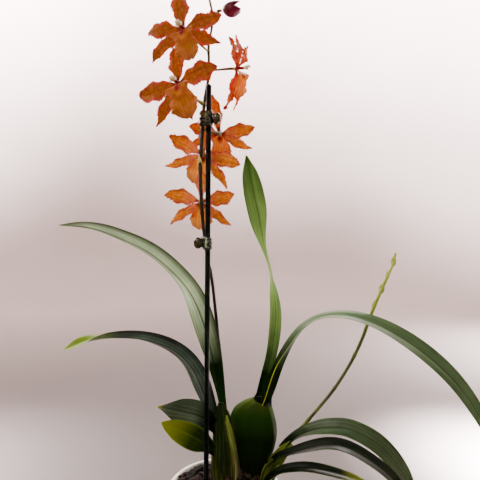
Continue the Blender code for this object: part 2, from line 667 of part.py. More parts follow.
def clip_outline(height, stem_radius, extra, sides=10):
    """The outline that wraps the stake and the stem at one height."""
    centres = [(stake_point(height), STAKE_RADIUS), (route_at_height(STEM_ROUTE, height), stem_radius)]
    ring = []
    for k in range(sides):
        way = np.array((math.cos(2 * math.pi * k / sides), math.sin(2 * math.pi * k / sides), 0))
        centre, radius = max(centres, key=lambda c: np.dot(c[0], way) + c[1])
        ring.append(centre + way * (radius + extra))
    return np.array(ring)


def make_clip(name, middle, height, stem_radius, handle, look):
    """A toothed sleeve round stake and stem, with a round pinch tab on one side."""
    low = middle - height / 2
    levels = [low + height * i / 6 for i in range(7)]
    outer = [clip_outline(z, stem_radius, CLIP_WALL + GAP + (CLIP_TOOTH if i % 2 else 0))
             for i, z in enumerate(levels)]
    bore_levels = (low - 1, middle, low + height + 1)
    bore = [clip_outline(z, stem_radius, GAP + 0.15) for z in bore_levels]
    hold = stake_point(middle) if handle > 0 else route_at_height(STEM_ROUTE, middle)
    reach = (STAKE_RADIUS if handle > 0 else stem_radius) + CLIP_WALL
    tab = ball(hold + np.array((handle * (reach + 4.0), 0, 0)), (4.6, 3.2, 6.0), 9, 5)
    neck = ball(hold + np.array((handle * (reach + 0.6), 0, 0)), (2.6, 2.4, 4.6), 6, 3)
    make(name, [rings_to_shape(outer), neck, tab], look, cuts=[rings_to_shape(bore)])


# Bulb and shoots

BULB_FOOT = ((32.0, 10.0), 11.0, 9.4)
# The bulb's outline: height, middle along X and half width along X
BULB_OUTLINE = [(118, 32.0, 12.0), (127, 31.6, 16.2), (138, 31.2, 20.4), (150, 31.1, 23.8),
                (163, 31.4, 25.6), (175, 31.2, 25.2), (186, 30.6, 23.2), (194, 31.8, 19.8),
                (200, 35.0, 14.0), (204.2, 37.6, 6.4)]
BULB_FLATNESS = 0.66
LEFT_FOOT = ((1.5, -3.0), 14.6, 7.2)
RIGHT_FOOT = ((43.5, -9.5), 6.6, 5.2)
# The oval holes that the leaning right shoot passes through, above its foot
RIGHT_HOLE = [(112, RIGHT_FOOT), (118, ((44.6, -9.7), 8.0, 5.6))]
RIGHT_HOLE_TOP = ((50, -9.8), 8.6, 6.0)
# How far down the bulb and the shoots stand in the bark, and how high their holes are cut
BULB_DOWN = BARK_LEVEL - 7
LEFT_DOWN = BARK_LEVEL - 11
RIGHT_DOWN = BARK_LEVEL - 9
HOLE_TOP = 135


def oval(foot, height, scale, steps):
    centre, wide, deep = foot
    return np.array([(centre[0] + scale * wide * math.cos(2 * math.pi * k / steps),
                      centre[1] + scale * deep * math.sin(2 * math.pi * k / steps), height)
                     for k in range(steps)])


def make_main_bulb(look, stubs):
    """The main bulb: egg-shaped, a little flat from front to back, with faint ribs."""
    steps = 20
    rings = [oval(BULB_FOOT, BULB_DOWN, 1, steps), oval(BULB_FOOT, BARK_LEVEL, 1, steps)]
    for z, middle, radius in BULB_OUTLINE:
        ring = []
        for k in range(steps):
            a = 2 * math.pi * k / steps
            reach = radius * (1 + 0.02 * math.cos(10 * a))
            y = BULB_FOOT[0][1] + BULB_FLATNESS * reach * math.sin(a)
            ring.append((middle + reach * math.cos(a), y, z))
        rings.append(np.array(ring))
    return make("main_bulb", [rings_to_shape(rings)] + stubs, look)


def sheath(route, half, fold, count):
    """The open edge of an outer sheath, folded round its shoot."""
    leaf = dict(route=route, hints=[(0, (0, 1, 0.1)), (1, (0.1, 1, 0.1))], half_width=half,
                widths=[(0, 0.8), (0.5, 1.0), (0.8, 0.8), (1, 0.2)], fold=[(0, fold), (1, fold)])
    return blade(leaf_grid(leaf, 0, route_length(route), count), 1.0)


def make_left_shoot(look, stubs):
    """The fan of folded sheaths: a flattened core and the open edges of the outer sheaths."""
    rings = [oval(LEFT_FOOT, LEFT_DOWN, 1, 16), oval(LEFT_FOOT, 117, 1, 16),
             oval(((1.3, -4.5), 15.2, 6.4), 138, 1, 16), oval(((0.5, -4.4), 13.2, 5.2), 158, 1, 16),
             oval(((-1.0, -2.6), 11.0, 3.9), 178, 1, 16), oval(((-2.4, -0.9), 7.4, 2.3), 192, 1, 16),
             oval(((-3.4, 0.2), 3.0, 0.9), 202, 1, 16)]
    shapes = [rings_to_shape(rings),
              sheath([(11, -9.2, 119), (10.8, -10.4, 140), (6.5, -8.8, 165), (2.5, -4.6, 190)], 5.0, 24, 6),
              sheath([(-7, -6.5, 119), (-7.5, -8, 138), (-9, -6.5, 160)], 6.0, 30, 5)]
    return make("left_shoot", shapes + stubs, look)


def make_right_shoot(look, stubs):
    """The young growth: a flattened stem of sheaths that leans out to the right."""
    rings = [oval(RIGHT_FOOT, RIGHT_DOWN, 1, 12), oval(RIGHT_FOOT, 116, 1, 12)]
    core = rod([(43.5, -9.5, 112), (46, -10, 124), (52, -9.5, 137), (61, -7, 149), (72, -4, 159)],
               [(0, 6.0), (0.3, 7.6), (0.6, 7.4), (0.85, 5.4), (1, 3.4)], 10, 6, flat=0.66)
    edge = sheath([(46, -15, 119), (51, -16, 130), (58, -13, 141)], 5.5, 30, 4)
    shapes = [rings_to_shape(rings), core, edge]
    return make("right_shoot", shapes + stubs, look)


# Pot and bark

def pot_inner(height):
    """The pot's inside radius at a height."""
    outside = POT_FOOT_RADIUS + (POT_RIM_RADIUS - RIM_STEP - POT_FOOT_RADIUS) * height / POT_HEIGHT
    return outside - POT_WALL


def make_pot(look):
    low_band = POT_HEIGHT - RIM_BAND
    under_band = POT_RIM_RADIUS - RIM_STEP
    outside = [(POT_FOOT_RADIUS - 0.8, 0), (POT_FOOT_RADIUS, 1.2),
               (pot_inner(low_band) + POT_WALL, low_band - 0.6), (under_band + 1.6, low_band + 0.6),
               (POT_RIM_RADIUS, POT_HEIGHT - 1.8), (POT_RIM_RADIUS - 0.4, POT_HEIGHT - 0.5),
               (POT_RIM_RADIUS - 1.4, POT_HEIGHT), (pot_inner(POT_HEIGHT) + 0.6, POT_HEIGHT - 0.4)]
    hollow = [(pot_inner(POT_FLOOR), POT_FLOOR), (pot_inner(POT_HEIGHT), POT_HEIGHT - 1.4),
              (pot_inner(POT_HEIGHT) + 0.9, POT_HEIGHT + 2)]
    drains = []
    for k in range(DRAIN_COUNT):
        a = 2 * math.pi * (k + 0.25) / DRAIN_COUNT
        spot = (DRAIN_RING * math.cos(a), DRAIN_RING * math.sin(a))
        drains.append(turned([(DRAIN_RADIUS, -1), (DRAIN_RADIUS, POT_FLOOR + 1)], 10, spot))
    make("pot", [turned(outside, 30)], look, cuts=[turned(hollow, 30)] + drains, angle=30)


def bark_height(x, y):
    """The top of the bark: a low mound, heaped up round the foot of the plant."""
    reach = math.hypot(x, y) / 56
    heap = math.exp(-math.dist((x, y), BARK_HEAP_MIDDLE) ** 2 / (2 * BARK_HEAP_REACH ** 2))
    return BARK_LEVEL + BARK_MOUND * (1 - reach ** 2) + BARK_HEAP * heap


def turn_about(points, angle, first, second):
    """Points turned in the plane of two of their axes."""
    turned_points = points.copy()
    turned_points[:, first] = points[:, first] * math.cos(angle) - points[:, second] * math.sin(angle)
    turned_points[:, second] = points[:, first] * math.sin(angle) + points[:, second] * math.cos(angle)
    return turned_points


def chip(draw, x, y, near_wall):
    """One bark chip: a lop-sided slab lying at a slant on the mound."""
    halves = (draw.uniform(5.5, 9.0), draw.uniform(3.4, 5.4), draw.uniform(2.0, 3.2))
    corners = np.array([[a * halves[0] * draw.uniform(0.78, 1.0), b * halves[1] * draw.uniform(0.72, 1.0),
                         c * halves[2]] for a in (-1, 1) for b in (-1, 1) for c in (-1, 1)])
    corners = turn_about(corners, draw.uniform(-0.4, 0.4), 0, 2)
    corners = turn_about(corners, draw.uniform(-0.45, 0.45), 1, 2)
    heading = draw.uniform(0, math.pi)
    if near_wall:
        heading = math.atan2(y, x) + math.pi / 2 + draw.uniform(-0.15, 0.15)
    corners = turn_about(corners, heading, 0, 1)
    corners += np.array((x, y, bark_height(x, y) + draw.uniform(-0.6, 1.4)))
    faces = [(0, 1, 3), (0, 3, 2), (4, 6, 7), (4, 7, 5), (0, 4, 5), (0, 5, 1), (2, 3, 7), (2, 7, 6),
             (0, 2, 6), (0, 6, 4), (1, 5, 7), (1, 7, 3)]
    return corners, faces


def scattered_spots(draw, count, apart, reach):
    """Seeded places on a disc that keep a distance from each other and from the holes."""
    spots = []
    taken = [LEFT_FOOT, BULB_FOOT, RIGHT_FOOT]
    for _ in range(6000):
        angle = draw.uniform(0, 2 * math.pi)
        r = reach * math.sqrt(draw.random())
        spot = (r * math.cos(angle), r * math.sin(angle))
        free = all(math.hypot((spot[0] - centre[0]) / (wide + CHIP_CLEARANCE),
                              (spot[1] - centre[1]) / (deep + CHIP_CLEARANCE)) > 1
                   for centre, wide, deep in taken)
        if free and all(math.hypot(spot[0] - s[0], spot[1] - s[1]) > apart for s in spots):
            spots.append(spot)
        if len(spots) == count:
            break
    return spots


def hole(outlines):
    """A plain hole in the bark, a little wider than the (height, foot) outlines of what stands in it."""
    return rings_to_shape([oval((centre, wide + GAP, deep + GAP), z, 1, 16)
                           for z, (centre, wide, deep) in outlines])


def make_bark(look):
    base = POT_FLOOR + GAP
    shoulder = BARK_LEVEL - 4
    sides = 24
    rings = [oval(((0, 0), radius, radius), z, 1, sides)
             for radius, z in ((pot_inner(base) - GAP, base), (pot_inner(shoulder) - GAP, shoulder))]
    for radius in (46, 32, 17, 3):
        ring = oval(((0, 0), radius, radius), 0, 1, sides)
        ring[:, 2] = [bark_height(x, y) - CHIP_SINK for x, y, _ in ring]
        rings.append(ring)
    draw = random.Random(11)
    shapes = [rings_to_shape(rings)]
    for x, y in scattered_spots(draw, CHIP_COUNT, CHIP_SPACING, 49.5):
        shapes.append(chip(draw, x, y, math.hypot(x, y) > 41))
    stem_foot = STEM_ROUTE[0]
    spike_foot = SPIKE_ROUTE[0]
    bulb = [(z, ((middle, BULB_FOOT[0][1]), wide, max(BULB_FOOT[2], BULB_FLATNESS * wide)))
            for z, middle, wide in BULB_OUTLINE[:3]]
    stem = ((stem_foot[0] - 0.4, stem_foot[1] - 0.7), 2.9, 3.1)
    spike = ((spike_foot[0] + 1.2, spike_foot[1]), 3.7, 2.7)
    holes = [hole([(LEFT_DOWN - GAP, LEFT_FOOT), (HOLE_TOP, LEFT_FOOT)]),
             hole([(BULB_DOWN - GAP, BULB_FOOT), (BARK_LEVEL, BULB_FOOT)] + bulb),
             hole([(RIGHT_DOWN - GAP, RIGHT_FOOT)] + RIGHT_HOLE + [(HOLE_TOP, RIGHT_HOLE_TOP)]),
             hole([(stem_foot[2] - GAP, stem), (HOLE_TOP, stem)]),
             hole([(spike_foot[2] - GAP, spike), (HOLE_TOP, spike)])]
    holes.append(tube([stake_point(z) for z in (STAKE_FOOT[2] - 1, 140)],
                      [unit(np.array(STAKE_TOP) - np.array(STAKE_FOOT))] * 2,
                      [STAKE_RADIUS + GAP] * 2, 14))
    return make("bark", shapes, look, cuts=holes)


def main():
    clear_scene()
    looks = {
        "petal": finish("orange_tepal", "C85A1A", 0.5),
        "lip": finish("light_orange_lip", "D8761E", 0.5),
        "column": finish("cream_column", "EEDCA0", 0.45)}
    leaf_green = finish("leaf_green", "4F7030", 0.45)
    bulb_green = finish("bulb_green", "33561C", 0.4)
    sheath_green = finish("sheath_green", "46602A", 0.5)
    spike_green = finish("spike_green", "8C9630", 0.5)
    stem_brown = finish("stem_brown", "3A3010", 0.5)
    bud_purple = finish("bud_purple", "5A0A28", 0.45)
    stake_green = finish("stake_green", "0E1A12", 0.35)
    clip_green = finish("clip_green", "2A3A14", 0.25)
    bark_brown = finish("bark_brown", "2A1810", 0.9)
    pot_white = finish("pot_white", "E8E8E0", 0.35)
    make_pot(pot_white)
    stubs = {}
    for family, leaves in (("bulb", BULB_LEAVES), ("left", LEFT_LEAVES), ("right", RIGHT_LEAVES)):
        stubs[family] = []
        for name, leaf in leaves.items():
            free, stub = leaf_pieces(leaf)
            make(name, [free], leaf_green)
            stubs[family].append(stub)
    make_main_bulb(bulb_green, stubs["bulb"])
    make_left_shoot(sheath_green, stubs["left"])
    make_right_shoot(sheath_green, stubs["right"])
    make_bark(bark_brown)
    make_young_spike(spike_green)
    make_flower_stem(stem_brown)
    make_stake(stake_green)
    make_clip("clip_upper", 499.0, 15.4, 2.15, 1, clip_green)
    make_clip("clip_lower", 373.5, 13.2, 2.05, -1, clip_green)
    for name, bloom in BLOOMS.items():
        make_bloom(name, bloom, looks)
    make_buds(bud_purple)


main()
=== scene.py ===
import json
import math
import random

import bmesh
import bpy
import numpy as np
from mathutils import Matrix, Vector, noise

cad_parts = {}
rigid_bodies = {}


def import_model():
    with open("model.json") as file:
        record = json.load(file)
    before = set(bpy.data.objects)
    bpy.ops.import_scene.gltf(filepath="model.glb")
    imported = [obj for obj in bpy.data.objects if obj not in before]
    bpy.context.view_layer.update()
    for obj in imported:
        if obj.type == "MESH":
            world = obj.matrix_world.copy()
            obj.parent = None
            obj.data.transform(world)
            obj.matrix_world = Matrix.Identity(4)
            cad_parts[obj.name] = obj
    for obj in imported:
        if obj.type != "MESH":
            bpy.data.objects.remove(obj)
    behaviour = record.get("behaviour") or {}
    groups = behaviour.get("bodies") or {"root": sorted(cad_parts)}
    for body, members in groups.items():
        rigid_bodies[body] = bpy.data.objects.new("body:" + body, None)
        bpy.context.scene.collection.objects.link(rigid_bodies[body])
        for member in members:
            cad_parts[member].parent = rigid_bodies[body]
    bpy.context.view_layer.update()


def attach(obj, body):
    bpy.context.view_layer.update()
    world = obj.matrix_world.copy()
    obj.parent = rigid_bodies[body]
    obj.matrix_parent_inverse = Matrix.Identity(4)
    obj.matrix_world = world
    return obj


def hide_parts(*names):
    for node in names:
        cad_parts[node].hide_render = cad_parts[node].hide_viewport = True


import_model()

MM = 0.001
FULL_TURN = 2 * math.pi

# Driving sizes, as in the part
POT_HEIGHT = 110.0
POT_RIM_RADIUS = 60.0
POT_FOOT_RADIUS = 43.0
POT_WALL = 1.8
POT_FLOOR = 3.0
RIM_BAND = 13.0
RIM_STEP = 2.2
DRAIN_RADIUS = 5.0
DRAIN_RING = 26.0
DRAIN_COUNT = 5
BARK_LEVEL = 106.0
BARK_MOUND = 3.5
BARK_MOUND_REACH = 56.0
BARK_HEAP = 6.0
BARK_HEAP_REACH = 18.0
BARK_HEAP_MIDDLE = (24.0, 3.0)
CHIP_COUNT = 38
CHIP_SPACING = 11.0
CHIP_SINK = 2.0
GAP = 0.3
BLADE = 0.8
PETAL = 0.7
STAKE_RADIUS = 2.7
STAKE_FOOT = (-19.7, -18.2, 30.0)
STAKE_TOP = (-14.2, -6.0, 533.0)
CLIP_WALL = 1.3
CLIP_TOOTH = 0.8
HUB_RADIUS = 3.0
HUB_BACK = -3.0
HUB_FRONT = 0.8
HOOK = 2.4

# The flower stem's centre line, from the bark to its last bud
STEM_ROUTE = [
    (5, 16, 88), (4, 15, 125), (0, 13.5, 172), (-2.5, 12, 213), (-5.2, 9, 255),
    (-10.1, 4.5, 311), (-12.9, -0.5, 338), (-15.9, -5.2, 354), (-19.6, -6.6, 380),
    (-22.2, -8, 415), (-23.2, -8, 451), (-22.0, -8, 472), (-20.0, -7.8, 498),
    (-19.3, -5.4, 512), (-17.6, -2.4, 525), (-14.6, -0.4, 543), (-14.4, 0, 558),
    (-14.8, 0, 569), (-12.5, 0, 583), (-10.2, 0, 597), (-10.9, 0, 605),
    (-13.4, 0, 617), (-13.0, 0.5, 628), (-10.4, 1, 639)]
STEM_RADII = [(0, 2.2), (0.3, 1.9), (0.52, 1.65), (0.6, 1.95), (0.7, 2.0), (0.76, 1.7),
              (0.84, 1.45), (1, 1.2)]


# Curves and profiles

STEPS_PER_SPAN = 12


def unit(vector):
    return vector / np.linalg.norm(vector, axis=-1, keepdims=True)


def bend(values, place):
    """Smooth values through evenly numbered control values, read at places between them."""
    values = np.asarray(values, float)
    last = len(values) - 1
    place = np.asarray(place, float)
    i = np.clip(np.floor(place).astype(int), 0, last - 1)
    u = (place - i).reshape(place.shape + (1,) * (values.ndim - 1))
    a, b = values[np.maximum(i - 1, 0)], values[i]
    c, d = values[i + 1], values[np.minimum(i + 2, last)]
    return 0.5 * (2 * b + (c - a) * u + (2 * a - 5 * b + 4 * c - d) * u ** 2
                  + (3 * b - a - 3 * c + d) * u ** 3)


def read(stops, t):
    """The widths, angles or ways that a short list of (place, value) stops gives at t."""
    places = np.array([stop[0] for stop in stops], float)
    t = np.asarray(t, float)
    i = np.clip(np.searchsorted(places, t, side="right") - 1, 0, len(stops) - 2)
    return bend([stop[1] for stop in stops], i + (t - places[i]) / (places[i + 1] - places[i]))


def eased(values, reach):
    """A run of values with its kinks rounded off over a few neighbours."""
    values = np.asarray(values, float)
    flat = values.reshape(len(values), -1)
    kernel = np.hanning(2 * reach + 3)[1:-1]
    kernel /= kernel.sum()
    before = 2 * flat[:1] - flat[reach:0:-1]
    after = 2 * flat[-1:] - flat[-2:-reach - 2:-1]
    padded = np.concatenate([before, flat, after])
    return np.stack([np.convolve(padded[:, k], kernel, mode="valid")
                     for k in range(flat.shape[1])], axis=1).reshape(values.shape)


def smooth_route(route):
    """Close points along one smooth curve through the route's own points."""
    spans = len(route) - 1
    return bend(route, np.linspace(0, spans, spans * STEPS_PER_SPAN + 1))


def arc_lengths(points):
    """How far along a run of points each of them lies."""
    return np.concatenate([[0], np.cumsum(np.linalg.norm(np.diff(points, axis=0), axis=1))])


def stations(route, distances, ease=2):
    """Points and directions at distances along a route's smooth curve, with kinks eased out."""
    dense = smooth_route(route)
    lengths = arc_lengths(dense)
    points, ways = (np.stack([np.interp(distances, lengths, values[:, k]) for k in range(3)],
                             axis=1) for values in (dense, np.gradient(dense, axis=0)))
    return eased(points, ease), unit(eased(unit(ways), ease))


def route_length(route):
    dense = smooth_route(route)
    return float(np.sum(np.linalg.norm(np.diff(dense, axis=0), axis=1)))


def route_at_height(route, height):
    """Where a rising route passes a height."""
    dense = smooth_route(route)
    return np.array([np.interp(height, dense[:, 2], dense[:, k]) for k in range(2)] + [height])


def turns_round(sides):
    """The angles of evenly spaced points round a ring."""
    return FULL_TURN * np.arange(sides) / sides


def oval(x, y, wide, deep, turns, z):
    """A level ring of points; its half widths may differ from point to point."""
    return np.stack([x + wide * np.cos(turns), y + deep * np.sin(turns),
                     np.full(len(turns), z)], axis=1)


def sheet_places(rows, columns, half=1.0):
    """Places along a sheet, from 0 to 1, and across it, from -half to half."""
    return np.linspace(0, 1, rows)[:, None], np.linspace(-half, half, columns)[None, :]


# Skins: the closed surfaces that a piece is made of. Each point also carries how far along
# and across its leaf, petal or rod it lies, whether it is on the underside, its own tone,
# and its lie on the surface in millimetres, for the materials to read.

MARKS = ("along", "across", "under", "tone")


def skin(points, faces, look, lie, **marks):
    points = np.asarray(points, float)
    count = len(points)
    made = {"points": points, "faces": faces, "look": look, "lie": np.asarray(lie, float)}
    for mark in MARKS:
        made[mark] = np.broadcast_to(np.asarray(marks.get(mark, 0.0), float), (count,))
    return made


def grid_faces(rows, columns, closed=False):
    """Quads over a grid of points; closed joins the last column to the first."""
    i = np.arange(rows - 1)[:, None]
    j = np.arange(columns if closed else columns - 1)[None, :]
    a = i * columns + j
    b = i * columns + (j + 1) % columns
    return np.stack([a, a + columns, b + columns, b], axis=-1).reshape(-1, 4)


def blade(grid, thickness, lie, look=0, tone=0.5, face_up=1, keel=0.0, rim=0.35, span=(0, 1)):
    """A thin closed blade that thins towards its rim; keel adds to its middle line, and span is
    the stretch of the leaf that it covers."""
    rows, columns, _ = grid.shape
    across = np.linspace(-1, 1, columns)
    along = np.linspace(0, 1, rows)
    normals = unit(np.cross(np.gradient(grid, axis=0), np.gradient(grid, axis=1)))
    body = rim + (1 - rim) * np.sqrt(np.clip(1 - across ** 2, 0, 1))
    body = body * (1 + keel * np.exp(-(across / 0.07) ** 2))
    ends = np.clip(np.minimum(along, 1 - along) * rows / 2.5, rim, 1)
    half = (thickness / 2 * body[None, :] * ends[:, None])[..., None]
    points = np.concatenate([(grid + normals * half).reshape(-1, 3),
                             (grid - normals * half).reshape(-1, 3)])
    under = rows * columns
    upper_faces = grid_faces(rows, columns)
    edge = list(range(columns)) + [i * columns + columns - 1 for i in range(1, rows)]
    edge += [(rows - 1) * columns + j for j in range(columns - 2, -1, -1)]
    edge += [i * columns for i in range(rows - 2, 0, -1)]
    a, b = np.array(edge), np.array(edge[1:] + edge[:1])
    faces = np.concatenate([upper_faces, upper_faces[:, ::-1] + under,
                            np.stack([a, b, b + under, a + under], axis=1)])
    sides = np.repeat([0.0, 1.0] if face_up > 0 else [1.0, 0.0], under)
    return skin(points, [faces], look, np.tile(lie.reshape(-1, 2), (2, 1)), tone=tone, under=sides,
                along=np.tile(np.repeat(np.linspace(*span, rows), columns), 2),
                across=np.tile(np.tile(across, rows), 2))


def rings_skin(rings, look=0, tone=0.5, girth=None):
    """Closed skin over a stack of rings with flat ends."""
    rings = np.asarray(rings, float)
    count, sides, _ = rings.shape
    faces = grid_faces(count, sides, closed=True)[:, ::-1]
    ends = [list(range(sides))[::-1], list(range((count - 1) * sides, count * sides))]
    middles = rings.mean(axis=1)
    run = arc_lengths(middles)
    turns = np.arange(sides) / sides
    girth = np.linalg.norm(rings[0, 0] - middles[0]) * FULL_TURN if girth is None else girth
    lie = np.stack(np.meshgrid(run, turns * girth, indexing="ij"), axis=-1).reshape(-1, 2)
    return skin(rings.reshape(-1, 3), [faces, ends], look, lie, tone=tone,
                along=np.repeat(run / max(run[-1], 1e-9), sides),
                across=np.tile(turns * 2 - 1, count))


def tube(points, ways, radii, sides, relief, flat=1.0, look=0):
    """A round rod, or one flattened along the way that starts along Y; relief gives each
    ring's own outline from its place and the angles round it."""
    guide = np.array((1.0, 0.0, 0.0))
    turns = turns_round(sides)
    rings = []
    for i, (point, way, radius) in enumerate(zip(points, ways, radii)):
        wide = unit(guide - way * np.dot(guide, way))
        guide = wide
        thin = np.cross(way, wide)
        reach = radius * (relief(i / (len(radii) - 1), turns) if relief else np.ones(sides))
        rings.append(point + (reach * np.cos(turns))[:, None] * wide
                     + flat * (reach * np.sin(turns))[:, None] * thin)
    return rings_skin(rings, look, girth=FULL_TURN * float(np.mean(radii)))


def rod(route, stops, sides, count, relief=None, flat=1.0, look=0, swell=None):
    """A tube along a route, with its radius read from stops; swell adds to it by height."""
    length = route_length(route)
    distances = np.linspace(0, length, count)
    points, ways = stations(route, distances)
    radii = read(stops, distances / length)
    if swell:
        radii = radii + swell(points[:, 2])
    return tube(points, ways, radii, sides, relief, flat, look)


def lathe(profile, sides, look=0):
    """A turned skin from (radius, height) points that run up its outside."""
    rings = [oval(0, 0, radius, radius, turns_round(sides), z) for radius, z in profile]
    return rings_skin(rings, look, girth=FULL_TURN * profile[0][0])


def ball(centre, sizes, sides, levels, look=0, groove=0.0):
    """A round lump with its half sizes along X, Y and Z and a parting line round its middle."""
    rings = []
    for lift in np.linspace(-0.485, 0.485, levels) * math.pi:
        dent = 1 - groove * math.exp(-(lift / 0.09) ** 2)
        wide, deep = (size * dent * math.cos(lift) for size in sizes[:2])
        rings.append(oval(centre[0], centre[1], wide, deep, turns_round(sides),
                          centre[2] + sizes[2] * math.sin(lift)))
    return rings_skin(rings, look)


def into_world(made, hub, right, up, forward):
    made["points"] = made["points"] @ np.stack([right, up, forward]) + np.array(hub, float)
    return made


def stand(name, data):
    """A new object in the scene that shows a mesh, a light or a camera."""
    made = bpy.data.objects.new(name, data)
    bpy.context.scene.collection.objects.link(made)
    return made


def piece(name, skins, looks, node, angle=50):
    """One object that stands for a CAD node, made of closed skins, each with its own look."""
    faces, spots = [], []
    offset = 0
    for made in skins:
        before = len(faces)
        for group in made["faces"]:
            if isinstance(group, np.ndarray):
                faces += (group + offset).tolist()
            else:
                faces += [[p + offset for p in face] for face in group]
        spots += [made["look"]] * (len(faces) - before)
        offset += len(made["points"])
    mesh = bpy.data.meshes.new(name)
    points = np.concatenate([made["points"] for made in skins]) * MM
    mesh.from_pydata(points.tolist(), [], faces)
    for look in looks:
        mesh.materials.append(look)
    mesh.polygons.foreach_set("material_index", np.array(spots, np.int32))
    for mark in MARKS:
        values = np.concatenate([made[mark] for made in skins]).astype(np.float32)
        mesh.attributes.new(mark, "FLOAT", "POINT").data.foreach_set("value", values)
    corners = np.empty(len(mesh.loops), np.int32)
    mesh.loops.foreach_get("vertex_index", corners)
    lie = np.concatenate([made["lie"] for made in skins])[corners] * MM
    mesh.uv_layers.new(name="lie").data.foreach_set("uv", lie.astype(np.float32).ravel())
    mesh.update()
    mesh.shade_smooth()
    mesh.set_sharp_from_angle(angle=math.radians(angle))
    made_object = stand(name, mesh)
    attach(made_object, "root")
    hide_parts(node)
    return made_object


# Materials

# The colour sockets of a Mix node
FACTOR, FIRST, SECOND, MIXED = 0, 6, 7, 2


def linear(code):
    """An sRGB hex colour as the linear values that the shader takes."""
    levels = [int(code[i:i + 2], 16) / 255 for i in (0, 2, 4)]
    return (*[c / 12.92 if c <= 0.04045 else ((c + 0.055) / 1.055) ** 2.4 for c in levels], 1)


def add(tree, kind, inputs=(), stops=(), out=0, **settings):
    """Adds a node with its settings and gives the socket that it puts out. An input is a plain
    value, an sRGB hex colour or another node's output."""
    made = tree.nodes.new("ShaderNode" + kind)
    for key, value in settings.items():
        setattr(made, key, value)
    for key, value in dict(inputs).items():
        if isinstance(value, bpy.types.NodeSocket):
            tree.links.new(value, made.inputs[key])
        else:
            made.inputs[key].default_value = linear(value) if isinstance(value, str) else value
    for i, (place, value) in enumerate(stops):
        marks = made.color_ramp.elements
        mark = marks[i] if i < len(marks) else marks.new(place)
        mark.position = place
        mark.color = linear(value) if isinstance(value, str) else (value, value, value, 1)
    return made.outputs[out]


def start(name, **plain):
    """A new material with its shader's constant values set on the shader's own sockets."""
    look = bpy.data.materials.new(name)
    look.use_nodes = True
    shader = look.node_tree.nodes["Principled BSDF"]
    for key, value in plain.items():
        shader.inputs[key.replace("_", " ")].default_value = value
    return look, look.node_tree, shader


def finished(look, shader, **varied):
    """The material, once what varies over its surface is linked to the shader."""
    for key, value in varied.items():
        look.node_tree.links.new(value, shader.inputs[key.replace("_", " ")])
    return look


def surface_reads(tree, *marks):
    """What a living skin's nodes read: its lie in metres and the marks that are named."""
    return [add(tree, "UVMap", uv_map="lie")] + [
        add(tree, "Attribute", out="Fac", attribute_name=mark) for mark in marks]


